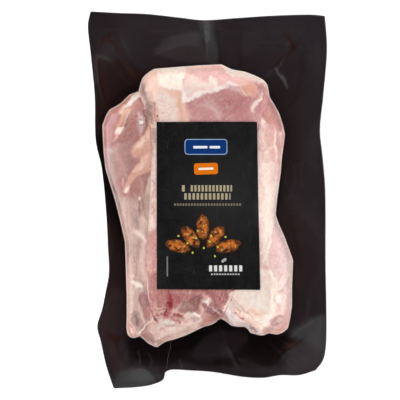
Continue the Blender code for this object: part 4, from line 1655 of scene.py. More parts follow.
LEFT_FLESH = Look(BROWN, (
    # Thick end: russet flank with a pale blur, orange ridge and white fat at its top, a tan fold beside.
    Patch(RUSSET, ((-67, 34), (-68, 46), (-63, 58), (-52, 66), (-55, 57), (-57.5, 48), (-61, 38)), 1.0,
          0.9),
    Streak(BLUSH, ((-65.4, 50), (-63, 55), (-58.6, 58.4)), (0.4, 0.9, 0.5), 0.8, 0.3),
    Streak(LIGHT, ((-60.8, 53), (-60, 49), (-60.4, 46)), (0.4, 1.0, 0.5), 0.8, 0.55),
    Streak(PINK, ((-66.4, 48), (-67, 42), (-66.8, 37)), (0.7, 1.0, 0.8), 0.8, 0.6),
    Streak(RED, ((-62.8, 53), (-62.2, 46), (-62, 40), (-62, 35.6)), (1.0, 1.7, 2.1, 1.9), 1.2, 0.95),
    Patch(RED, ((-66, 50), (-62.4, 53.6), (-59, 52), (-59.4, 44), (-59, 36), (-65.4, 35)), 1.6, 0.85),
    Streak(COPPER, ((-47.2, 67.6), (-50.4, 64.6), (-54, 61), (-56.8, 57.4)), (0.6, 1.1, 1.1, 0.6), 0.6,
           0.85),
    Streak(WHITE, ((-43.4, 69), (-46.4, 65.6), (-49.6, 62), (-52.8, 58.8), (-55.2, 55.4)),
           (2.0, 1.9, 1.5, 1.0, 0.5), 0.8, 0.95, 0.5),
    Streak(WARM, ((-52.6, 60.8), (-54.6, 58.4), (-56.2, 55.6)), (0.6, 1.0, 0.6), 1.0, 0.7),
    Streak(WINE, ((-66, 36.5), (-62.4, 34.2), (-58.6, 37), (-52, 37.6), (-49, 40)),
           (0.6, 1.5, 1.0, 0.7, 0.4), 0.8, 0.7),
    Grain(RED, ((-55, 56), (-46, 63), (-40, 62), (-39, 44), (-47, 36), (-56, 40)), (8.0, 1.1), 82, 5, 0.5),
    Grain(LIGHT, ((-50, 56), (-45, 58), (-43, 48), (-45, 38), (-52, 38)), (9.0, 1.0), 84, 6, 0.25, True,
          0.3),
    Streak(RED, ((-46, 59), (-47, 54), (-48.4, 49)), (1.4, 2.0, 1.4), 1.6, 0.5),
    Streak(COPPER, ((-45.6, 61.6), (-48.6, 59), (-51, 57)), (0.8, 1.4, 1.2), 1.2, 0.5, 0.3),
    Streak(BROWN, ((-57, 54.6), (-58.2, 49), (-60, 43.4)), (0.6, 1.3, 1.2), 0.8, 0.9),
    Streak(COPPER, ((-51, 57), (-53.8, 51.6), (-56, 47)), (1.0, 2.0, 1.5), 0.7, 0.8, 0.3),
    Streak(YELLOW, ((-49.4, 57.8), (-52.4, 57), (-54.8, 54.4)), (1.0, 1.6, 0.8), 1.0, 0.75),
    Streak(YELLOW, ((-52.4, 55.6), (-55.2, 50.6), (-57, 46.6)), (0.6, 0.9, 0.6), 0.8, 0.6),
    Streak(LIGHT, ((-49.6, 58), (-51.6, 52.6), (-54, 47)), (0.4, 0.7, 0.4), 0.5, 0.85),
    Patch(CREAM, ((-53, 46.4), (-53.6, 43.4), (-56.4, 41.2), (-58.6, 42.4), (-57.6, 46)), 0.7, 0.95, 0.3),
    Streak(PEACH, ((-57.4, 41.6), (-58.4, 39.6), (-59.6, 37.8)), (0.9, 0.7, 0.3), 0.5, 0.9),
    Streak(UMBER, ((-50.4, 52), (-52.8, 46), (-55, 41.4)), (0.3, 0.5, 0.4), 0.5, 0.5),
    # Rounded fold with a painted white glint in painted lilac sheen, and the dark crease at its right with a
    # painted grey glint.
    Patch(MAUVE, ((-44.6, 56), (-41.6, 57.4), (-39, 54), (-38.8, 48), (-41, 42.6), (-44, 40.6),
                  (-45.2, 47)), 1.0, 0.85),
    Streak(DEEP, ((-43.6, 64.8), (-41.4, 62.4), (-40, 58.6), (-40.6, 56), (-39.2, 53), (-39, 49),
                  (-39.8, 45.6)), (0.6, 0.8, 0.5, 0.4, 0.6, 0.4, 0.2), 0.5, 0.85, -0.4),
    spot(UMBER, -42.2, 62.8, 1.0, 0.6, 0.7),
    # Painted grey glint, in the cartilage colour.
    Streak(CARTILAGE, ((-40.2, 61), (-39.6, 58.6)), (0.5, 0.8), 0.4, 0.8),
    # Painted lilac sheen round the glint, in these two streaks.
    Streak(LILAC, ((-43.4, 54.8), (-42.4, 53), (-41.6, 51.4)), (0.8, 1.7, 1.2), 1.0, 0.8, 0.4),
    Streak(LILAC, ((-43.4, 51), (-42.6, 48), (-42.6, 44.6)), (1.2, 2.0, 0.8), 1.4, 0.65),
    Streak(PURPLE, ((-44.2, 50.8), (-42.4, 51.3), (-40.4, 50.6)), (0.2, 0.25, 0.2), 0.35, 0.5),
    # Painted glint: a white spot.
    spot(WHITE, -42.2, 49.3, 1.3, 0.4, 1.0, 0.4),
    Streak(PURPLE, ((-44, 48.2), (-42.2, 47.4), (-40.4, 48.2)), (0.2, 0.3, 0.2), 0.35, 0.6),
    # Mauve plateau with streaks down to the shank.
    Patch(MAUVE, ((-67, 32), (-60, 34), (-54, 36), (-48, 38), (-45, 33), (-48, 26), (-49, 18), (-52, 9),
                  (-56, 2), (-61, 3), (-65, 16)), 1.4, 0.95, 0.3),
    Streak(TAN, ((-61.4, 30), (-60.4, 22), (-59.4, 12), (-57.6, 3)), (1.6, 3.0, 3.2, 1.8), 1.8, 0.9),
    Streak(BROWN, ((-54, 33), (-55.4, 26), (-57.2, 17)), (1.0, 1.8, 1.2), 1.4, 0.6),
    Streak(SHANK, ((-64.6, 32), (-61.6, 31), (-60, 29.6)), (0.8, 1.2, 0.5), 0.9, 0.6),
    Streak(SHANK, ((-56, 25), (-53.6, 21.5), (-52.4, 17)), (0.8, 1.5, 0.8), 1.1, 0.7),
    Streak(GREY, ((-63.6, 21), (-62.4, 14), (-61, 8)), (0.4, 0.8, 0.4), 0.7, 0.5),
    Streak(RED, ((-55.2, 15), (-55.8, 9.5), (-55, 4.5)), (0.9, 1.8, 1.2), 1.0, 0.7),
    Streak(LILAC, ((-54.4, 13.6), (-54.2, 11.4), (-53.8, 9)), (0.4, 0.8, 0.4), 0.8, 0.6),
    Streak(WINE, ((-52.6, 15), (-53.4, 10), (-54.4, 5)), (0.2, 0.5, 0.3), 0.5, 0.55),
    Streak(STAIN, ((-58.6, 14), (-57.8, 10), (-58.4, 5.5)), (0.3, 0.8, 0.5), 0.8, 0.45),
    Streak(PURPLE, ((-60.4, 10), (-59.2, 6.5), (-58.2, 3)), (0.3, 0.8, 0.4), 0.5, 0.9),
    # Two peach lobes of membrane from the right, brown flesh under them, and the pale strip beside it.
    Patch(PEACH, ((-35, 51), (-39.2, 43.8), (-43.6, 38.6), (-48, 33.4), (-48.6, 30.4), (-46.4, 27.6),
                  (-42.6, 26), (-36, 23), (-34, 36)), 0.8, 0.95, 0.5),
    Streak(WARM, ((-37.6, 43), (-40, 38.6), (-43, 35.4), (-46.4, 31.6)), (0.9, 1.9, 1.9, 0.8), 1.1, 0.75),
    Streak(CREAM, ((-40.4, 38), (-42.6, 35.8), (-44.6, 33.4)), (0.5, 1.1, 0.5), 0.9, 0.7),
    Streak(MAUVE, ((-49, 28.6), (-46, 26.4), (-43.2, 27.4)), (0.8, 0.9, 0.3), 0.7, 0.7),
    Patch(PEACH, ((-35, 29), (-41, 28), (-43.4, 23.4), (-46.4, 19.8), (-49.8, 15.4), (-52.2, 10),
                  (-53.8, 4.8), (-50.8, 4.6), (-48.4, 8.6), (-46.2, 13), (-42.6, 15.6), (-38.6, 17.2),
                  (-36, 19)), 0.8, 0.95, 0.5),
    Streak(WARM, ((-38.6, 28), (-41.2, 24), (-43.6, 20.8), (-47.4, 18.4)), (0.9, 2.0, 2.0, 0.8), 1.1, 0.85),
    Streak(PALE, ((-40.4, 24), (-42, 21), (-44.6, 19.8)), (0.4, 0.9, 0.4), 0.9, 0.6),
    Streak(CREAM, ((-52, 5.2), (-50.6, 7.2), (-48.6, 8.8)), (0.9, 1.3, 0.7), 0.7, 0.9, 0.3),
    Grain(MAUVE, ((-36, 48), (-44, 38), (-48, 31), (-42, 26), (-53, 7), (-46, 13), (-36, 19)), (9.0, 1.6),
          55, 17, 0.4, True, 0.4),
    Patch(BROWN, ((-49, 9.6), (-46.2, 13), (-42.6, 15.6), (-39, 16.6), (-39.4, 2), (-41.6, -0.6), (-46, -1),
                  (-48.6, 3)), 0.9, 0.9),
    Streak(SHANK, ((-42.6, 13.6), (-42, 8), (-41.6, 2.6)), (0.9, 1.4, 1.0), 1.0, 0.55),
    Streak(COPPER, ((-44, 13.4), (-44.4, 9), (-44, 4)), (0.4, 0.8, 0.4), 0.9, 0.4),
    Streak(YELLOW, ((-41.4, 12), (-40.8, 7), (-41, 3)), (0.3, 0.5, 0.3), 0.6, 0.4),
    Streak(LIGHT, ((-36.6, 14.4), (-37.6, 8), (-37.8, -2), (-37.6, -14)), (0.8, 1.7, 1.9, 1.4), 0.8, 0.9),
    Streak(TAN, ((-38, 18), (-39.6, 11), (-40, 3), (-39.8, -5)), (0.2, 0.35, 0.4, 0.2), 0.5, 0.6, -0.2),
    # Shank.
    Patch(SHANK, ((-62, 2), (-52, 1), (-44, 2), (-36, 4), (-35, -30), (-36, -62), (-39, -95), (-58, -95),
                  (-57, -40), (-60, -12)), 1.8, 1.0),
    Streak(TAN, ((-58.6, 5), (-56.6, -3), (-54.6, -10)), (2.0, 2.7, 1.2), 1.5, 0.6),
    Streak(GREY, ((-59.6, 3), (-57.6, -8), (-55.4, -20)), (1.3, 1.3, 0.8), 1.1, 0.75),
    Streak(DULL, ((-53.4, 1), (-53, -12), (-51.6, -26)), (0.8, 1.1, 0.8), 0.9, 0.5),
    Grain(LIGHT, ((-57, 0), (-38, 2), (-37, -50), (-41, -58), (-52, -76), (-54, -30)), (16.0, 1.3), 91, 7,
          0.6),
    Grain(TAN, ((-57, 0), (-38, 2), (-37, -50), (-44, -78), (-52, -76), (-54, -30)), (14.0, 1.1), 89, 9,
          0.35),
    Streak(LIGHT, ((-50.6, -1), (-49.8, -12), (-48.8, -24)), (0.6, 0.9, 0.7), 0.8, 0.45),
    Streak(LIGHT, ((-53.8, -26), (-52.8, -40), (-52.2, -56), (-51.6, -78)), (0.4, 0.8, 1.2, 1.8), 0.9,
           0.85),
    Streak(SKIN, ((-50.8, -48), (-50.4, -58), (-50.2, -70), (-50.2, -79)), (1.2, 1.7, 2.0, 1.6), 1.2, 0.95),
    Streak(GREY, ((-52, -26), (-51, -32), (-50.8, -39)), (0.6, 1.0, 0.5), 0.8, 0.65),
    Streak(LIGHT, ((-49.6, -38), (-49.8, -46), (-49, -53)), (0.8, 1.7, 1.4), 1.0, 0.8),
    Streak(WINE, ((-43.9, -0.5), (-43.5, -5), (-43, -11)), (0.4, 0.8, 0.3), 0.6, 0.75),
    Streak(GREY, ((-45, -7), (-45.4, -13), (-45, -18)), (0.7, 1.4, 0.7), 0.9, 0.8),
    Streak(TAN, ((-42, 0.6), (-40.6, -3), (-40.2, -7.5)), (0.7, 0.8, 0.3), 0.6, 0.7),
    Streak(TAN, ((-47.4, -2), (-47.8, -8)), (0.3, 0.4), 0.6, 0.4),
    spot(CREAM, -43.2, 1.2, 0.9, 0.6, 0.85),
    Streak(LIGHT, ((-42, -11), (-40.4, -15), (-41, -19)), (1.2, 2.4, 1.6), 1.3, 0.8),
    Streak(PALE, ((-46.8, -20), (-43.6, -21.4), (-41, -23.4), (-39.4, -26.4)), (0.8, 1.7, 1.4, 0.6), 1.8,
           0.85, 0.3),
    Streak(ROSE, ((-37, -20), (-37.4, -26), (-37.6, -34), (-37.4, -44)), (0.6, 1.1, 1.2, 0.8), 0.9, 0.6),
    Streak(GREY, ((-44.4, -26), (-43.8, -31), (-44.6, -37.4)), (0.9, 1.7, 0.9), 0.8, 0.8),
    Streak(LIGHT, ((-41, -28), (-41.4, -34), (-41.6, -44), (-40, -50)), (1.2, 1.6, 1.5, 1.0), 0.9, 0.9),
    Streak(TAN, ((-46.8, -36.6), (-46.3, -39.6)), (0.4, 0.5), 0.5, 0.75),
    Streak(MAUVE, ((-45.6, -41), (-45, -48.4)), (0.5, 0.9), 1.0, 0.4),
    spot(PINK, -48.2, -48.3, 1.3, 0.9, 0.7),
    Streak(WHITE, ((-47.8, -52.4), (-45.4, -54), (-41.8, -54.6)), (0.8, 1.7, 1.0), 1.4, 0.75, 0.4),
    Streak(TAN, ((-44.4, -50.4), (-41.6, -52), (-40.4, -55.4)), (0.3, 0.6, 0.5), 0.5, 0.65),
    Streak(GREY, ((-40.6, -55.6), (-39, -60), (-37.6, -64)), (0.7, 1.2, 0.7), 0.8, 0.7),
    Streak(LIGHT, ((-47.6, -57), (-48.4, -64), (-48.2, -71)), (1.0, 1.0, 1.0), 1.2, 0.6),
    Streak(MAUVE, ((-45.6, -61), (-45.8, -66), (-46, -72)), (0.7, 1.3, 1.0), 1.2, 0.5),
    POCKET,
    Streak(MAUVE, ((-41, -60), (-40.4, -66), (-39.6, -71)), (0.5, 0.9, 0.6), 1.0, 0.5),
    Streak(DEEP, ((-43.4, -61.4), (-43, -64.4), (-42.5, -66.8)), (0.4, 0.9, 0.4), 0.5, 0.75),
    POCKET_EDGE,
    Streak(DULL, ((-43.6, -66), (-43.2, -70.6), (-41.8, -75), (-40.6, -79)), (0.4, 0.7, 0.8, 0.5), 0.5,
           0.75, 0.2),
    # Knuckle: dark hollow, pink end and the pale rim of the cut beside it.
    Patch(TAN, ((-47.6, -72), (-43.6, -72.6), (-42.4, -78), (-43.6, -83), (-47.6, -81), (-48.6, -76)), 1.0,
          0.8),
    Streak(PURPLE, ((-45.6, -73.6), (-44.8, -77.4), (-45.6, -80.6)), (0.6, 1.2, 0.5), 0.8, 0.75),
    Streak(LILAC, ((-46.6, -80.4), (-44.4, -82), (-43.6, -84)), (0.4, 0.6, 0.4), 0.7, 0.5),
    Streak(BROWN, ((-42, -79), (-41.4, -82), (-42, -84.6)), (0.8, 1.4, 0.8), 0.9, 0.7),
    Streak(UMBER, ((-48.4, -73), (-46.4, -71.4), (-44.4, -72.2)), (0.3, 0.7, 0.3), 0.6, 0.55),
    Patch(PINK, ((-54, -79), (-48, -79.6), (-45, -83.6), (-40.6, -85.6), (-46, -91), (-54, -88)), 0.9, 0.9,
          0.3),
    Streak(STAIN, ((-51.4, -79), (-48.8, -80.4), (-47.4, -83)), (0.3, 0.6, 0.4), 0.5, 0.65),
    Streak(COPPER, ((-51.6, -81), (-50, -84), (-48.4, -86.6)), (0.6, 1.2, 0.6), 0.7, 0.55),
    Streak(CREAM, ((-52.6, -80.4), (-51.6, -83.4), (-50.6, -85.4)), (0.3, 0.5, 0.3), 0.5, 0.7),
    Streak(CREAM, ((-48.8, -82), (-48.2, -84.4)), (0.4, 0.5), 0.5, 0.6),
    Streak(STAIN, ((-51.4, -85.6), (-48, -87.2), (-44.6, -86.6)), (0.2, 0.6, 0.3), 0.5, 0.5),
    Streak(TAN, ((-43.6, -83.2), (-41.6, -81.4), (-40.4, -79.4)), (0.3, 0.6, 0.4), 0.5, 0.6, -0.3),
    Streak(CREAM, ((-45, -86), (-42.2, -83.8), (-39.6, -80.4), (-37.2, -77.4)), (0.5, 0.4, 0.35, 0.3), 0.35,
           0.9, 0.4),
    Streak(DEEP, ((-42.6, -86), (-40.4, -83.4), (-38.2, -79.6)), (0.2, 0.4, 0.2), 0.4, 0.8, -0.4),
), stray=0.6, run=84.0, fine=0.06)

TOP_FLESH = Look(ROSE, (
    # Warm skin at the upper left with fine wrinkles, under cream fat.
    Patch(WARM, ((-46, 74), (-39, 83), (-26, 80), (-17, 72), (-13, 60), (-13, 44), (-40, 44), (-40, 60)),
          1.6, 1.0),
    Patch(PALE, ((-32, 68), (-26, 68), (-20.6, 64), (-20, 46), (-33, 46)), 2.0, 0.95),
    Streak(CREAM, ((-31, 72), (-27, 67), (-25, 58)), (1.0, 1.8, 0.8), 1.6, 0.5),
    Grain(PALE, ((-35, 74), (-22, 70), (-20, 60), (-20, 48), (-33, 48)), (9.0, 1.8), -8, 22, 0.5, True,
          0.4),
    *(Streak(STAIN, ((-32.6, level + 0.8), (-29, level - 0.3), (-25.4, level + 0.5), (end, level + 1.6)),
             (0.1, 0.16, 0.12, 0.05), 0.3, share) for level, end, share in WRINKLES),
    # Painted shade: a grey strip along the crease with the left drumstick.
    Streak(GREY, ((-43, 76), (-40.6, 69), (-37.4, 61), (-35.6, 50)), (1.0, 1.9, 1.8, 1.2), 1.0, 0.9),
    Grain(TAN, ((-44, 76), (-38, 72), (-33.6, 50), (-37, 50), (-42, 66)), (1.6, 1.0), 20, 25, 0.6, False),
    Streak(TAN, ((-40.4, 70), (-38.4, 63), (-36.8, 54)), (0.5, 1.0, 0.7), 0.9, 0.7),
    Streak(LIGHT, ((-41.4, 76), (-39, 70), (-37.4, 64)), (0.4, 0.6, 0.4), 0.5, 0.7, 0.3),
    Streak(DULL, ((-36, 68), (-35, 60), (-34.4, 52)), (0.8, 1.0, 0.6), 1.0, 0.7),
    Streak(CREAM, ((-38.4, 81), (-36, 74), (-34.6, 68)), (0.8, 0.9, 0.5), 1.0, 0.5),
    Streak(DULL, ((-42.6, 76), (-39.6, 80.4), (-36.4, 81.6)), (0.6, 0.8, 0.6), 0.7, 0.7),
    Patch(FAT, ((-34, 88), (-32.6, 82), (-30.4, 73.4), (-26.6, 71.2), (-22, 70), (-17.6, 69.8), (-16, 74),
                (-14.2, 80), (-13, 90)), 0.9, 1.0, 0.4),
    Grain(WARM, ((-33, 84), (-29, 74), (-18, 72), (-14, 84)), (4.0, 2.2), 20, 23, 0.5, False, 0.45),
    Streak(WHITE, ((-30.6, 74.4), (-26.4, 72.2), (-22, 71), (-17.4, 70.4)), (0.6, 1.0, 1.2, 0.9), 0.8, 0.9,
           0.3),
    Streak(WHITE, ((-17, 82), (-17, 76), (-16.6, 71)), (0.8, 1.3, 1.0), 1.2, 0.7),
    Streak(WARM, ((-18.4, 69), (-18.2, 62), (-16.8, 50)), (1.4, 2.0, 1.9), 0.8, 0.9, 0.2),
    Streak(YELLOW, ((-17.8, 68), (-17.4, 58), (-16, 50)), (0.5, 1.0, 0.9), 0.9, 0.6),
    Streak(PEACH, ((-33.4, 61), (-32.4, 56.6), (-32, 52)), (0.9, 1.5, 1.2), 1.0, 0.6),
    Streak(STAIN, ((-35, 62.4), (-33.8, 59.4), (-33.6, 56)), (0.3, 0.5, 0.3), 0.5, 0.8),
    Streak(STAIN, ((-34.6, 56), (-33.4, 53), (-33, 50)), (0.2, 0.4, 0.4), 0.5, 0.6),
    spot(STAIN, -31.8, 53.4, 0.8, 0.5, 0.9),
    spot(STAIN, -31.4, 51.0, 0.6, 0.5, 0.6),
    # Pale flap of membrane over the muscle, with its white edge.
    Patch(PINK, ((-12.9, 90), (30, 90), (36, 76), (27, 73), (18, 72), (8, 70.5), (0, 68), (-7, 65.6),
                 (-12, 61.8), (-15, 63), (-15.4, 68), (-14.4, 75)), 0.7, 1.0, 0.5),
    Patch(PALE, ((-14.4, 74), (-8, 80), (-3, 76), (4, 74), (2, 69), (-8, 66), (-15, 64)), 2.0, 0.6),
    Streak(BLUSH, ((-10, 81.6), (-1, 79.4), (7, 80.2), (14, 79.4)), (1.4, 3.4, 2.8, 1.4), 2.0, 0.95),
    Streak(COPPER, ((-4, 84.4), (6, 84.6), (12, 82.4)), (0.6, 1.0, 0.6), 1.4, 0.3),
    Grain(PALE, ((-14, 84), (12, 84), (16, 74), (0, 70), (-14, 66)), (3.4, 1.8), 20, 31, 0.35),
    Streak(WHITE, ((-16.2, 71), (-15.2, 66.4), (-13.4, 63.6), (-10.6, 64.2), (-8, 66.4), (-4.5, 68.4),
                   (-0.4, 68.4), (3.3, 69.4), (6, 70.8), (11, 72.2)),
           (0.6, 1.2, 1.7, 1.6, 1.3, 1.2, 1.1, 1.1, 0.9, 0.5), 0.6, 0.95, 0.5),
    Streak(PALE, ((-12.4, 68.4), (-8, 71.4), (-2, 72.4), (4, 73)), (1.0, 1.6, 1.4, 0.8), 1.6, 0.7),
    Streak(FAT, ((2.6, 77.4), (3.9, 75.2), (5.4, 73)), (1.5, 1.6, 1.4), 0.5, 0.9, 0.3),
    Streak(BLUSH, ((-1.6, 76), (-0.6, 80.2), (4.4, 80.6)), (0.4, 0.5, 0.4), 0.6, 0.6),
    Streak(BLUSH, ((6, 78), (8.6, 75), (11.6, 74.6)), (0.5, 1.0, 0.6), 0.8, 0.6),
    Patch(CREAM, ((9, 90), (13, 80.6), (20, 78.6), (28, 77.2), (34, 74.6), (38, 70), (44, 74), (38, 84),
                  (24, 90)), 1.2, 0.95, 0.3),
    Streak(PEACH, ((13, 77.6), (19, 75.6), (26, 74.6), (31.6, 73.4)), (0.6, 0.8, 0.7, 0.5), 0.9, 0.6),
    Grain(BLUSH, ((10, 80), (22, 78), (26, 74), (12, 73)), (3.0, 1.4), 10, 32, 0.6),
    Streak(BLUSH, ((12, 75.6), (16, 75.6), (20, 74.6)), (0.6, 1.0, 0.6), 1.0, 0.5),
    Streak(WHITE, ((13, 74.6), (16.4, 73.6), (19.4, 73.2)), (0.4, 0.9, 0.5), 0.8, 0.75),
    # Rose muscle with lilac marbling, and the peach knob at its right.
    Patch(RED, ((8, 68), (22, 67), (27, 62), (22, 56), (12, 58), (4, 64)), 3.6, 0.45),
    Grain(LILAC, ((-14, 62), (0, 68), (14, 68), (16, 56), (18, 46), (-14, 46)), (7.0, 2.6), 50, 33, 0.35,
          True, 0.4),
    Grain(LILAC, ((-12, 60), (0, 66), (10, 62), (16, 46), (-12, 46)), (6.0, 2.4), -35, 34, 0.25, True, 0.4),
    Grain(RED, ((-12, 62), (4, 68), (20, 69), (32, 60), (32, 46), (-12, 46)), (7.0, 2.6), 40, 35, 0.25,
          False),
    Streak(LILAC, ((-6, 60), (-1, 61), (3, 58.6), (6, 55), (8, 50)), (0.6, 1.2, 1.2, 0.9, 0.5), 1.2, 0.5),
    Streak(LILAC, ((2, 64), (5, 61), (4.6, 56)), (0.4, 0.9, 0.5), 1.0, 0.45),
    Streak(WINE, ((9, 60), (11.5, 58), (10.6, 55)), (0.6, 0.9, 0.5), 1.0, 0.4),
    Streak(LILAC, ((12, 72.6), (18, 71), (21.4, 68)), (0.8, 1.7, 0.8), 1.2, 0.65),
    Patch(PEACH, ((20.6, 73), (26, 74.4), (31.6, 72.6), (31, 68), (26, 65), (21.6, 67)), 1.4, 0.9, 0.8),
    Streak(COPPER, ((24, 71), (28, 72), (30, 68)), (1.2, 2.4, 1.6), 1.6, 0.55),
    Streak(RED, ((25, 65), (29, 63), (32, 67)), (1.2, 2.0, 0.8), 1.4, 0.6),
    Streak(CREAM, ((21.6, 71.6), (22.8, 69), (24.6, 67.6)), (0.3, 0.7, 0.3), 0.5, 0.8, 0.3),
    Streak(WINE, ((30, 74.6), (33, 72), (34.2, 67.6)), (0.3, 0.7, 0.5), 0.7, 0.6),
    Streak(RED, ((35.4, 64), (33.6, 60.6), (32.6, 57)), (0.8, 1.6, 1.0), 1.0, 0.7),
    Streak(PALE, ((35.4, 68.8), (34, 64.4), (31, 61.2), (28.9, 58.6)), (0.8, 1.1, 1.1, 1.3), 0.6, 0.85,
           0.5),
    Streak(CREAM, ((28.6, 58.4), (29.2, 56)), (1.2, 0.9), 0.6, 0.8),
    Streak(RED, ((36.4, 71), (35.4, 66), (33.6, 61)), (0.4, 0.7, 0.5), 0.6, 0.7),
    Streak(BLUSH, ((37, 74), (37.4, 68), (36, 62)), (0.6, 1.0, 0.8), 0.8, 0.8),
    Streak(CREAM, ((34, 79.6), (38.4, 74), (39.6, 67)), (0.8, 1.2, 0.8), 0.9, 0.9, 0.4),
    Streak(BLUSH, ((27, 56), (30, 51.6), (31.4, 46)), (0.6, 1.1, 0.6), 1.2, 0.5),
    # Narrow end, showing below the label.
    Streak(RED, ((6, -50), (7.4, -58), (8.6, -66)), (6.0, 6.0, 3.6), 1.2, 1.0),
    Streak(STAIN, ((6, -58), (8, -64), (9.4, -71)), (2.0, 2.2, 1.2), 1.6, 0.35),
    Streak(RUSSET, ((10, -66), (10.6, -70), (10.6, -73)), (0.8, 1.4, 0.8), 1.0, 0.6),
    Streak(WINE, ((7, -68), (8.2, -71), (9.6, -74)), (1.0, 1.6, 0.8), 1.0, 0.8),
    Streak(CREAM, ((17, -58.4), (14, -63), (11.6, -67.6), (10.8, -71)), (0.7, 1.3, 1.1, 0.6), 0.6, 0.9,
           0.3),
    Streak(STAIN, ((11.4, -62.4), (12.8, -61.4), (15, -61.4)), (0.3, 0.6, 0.3), 0.5, 0.75),
    spot(BLOOD, 12.2, -61.9, 0.5, 0.5, 0.7),
    Streak(WINE, ((9.6, -57), (12, -60), (13, -63)), (0.8, 1.3, 0.6), 1.2, 0.55),
    Streak(BLUSH, ((2, -58.4), (8, -58.2), (14, -58.6)), (0.4, 0.5, 0.4), 0.8, 0.5),
    Grain(LILAC, ((2, -57), (14, -57), (10, -70), (6, -66)), (3.0, 1.4), 70, 38, 0.4),
    Streak(DEEP, ((1.6, -60), (3.6, -64), (6.6, -69.6), (10, -73.4)), (0.4, 0.7, 0.6, 0.3), 0.6, 0.7, -0.4),
    Streak(PINK, ((0.6, -62.6), (2.8, -66.6), (6, -70.8), (10.2, -74.4)), (0.2, 0.35, 0.35, 0.2), 0.4, 0.8,
           0.4),
), run=60.0, fine=0.045)

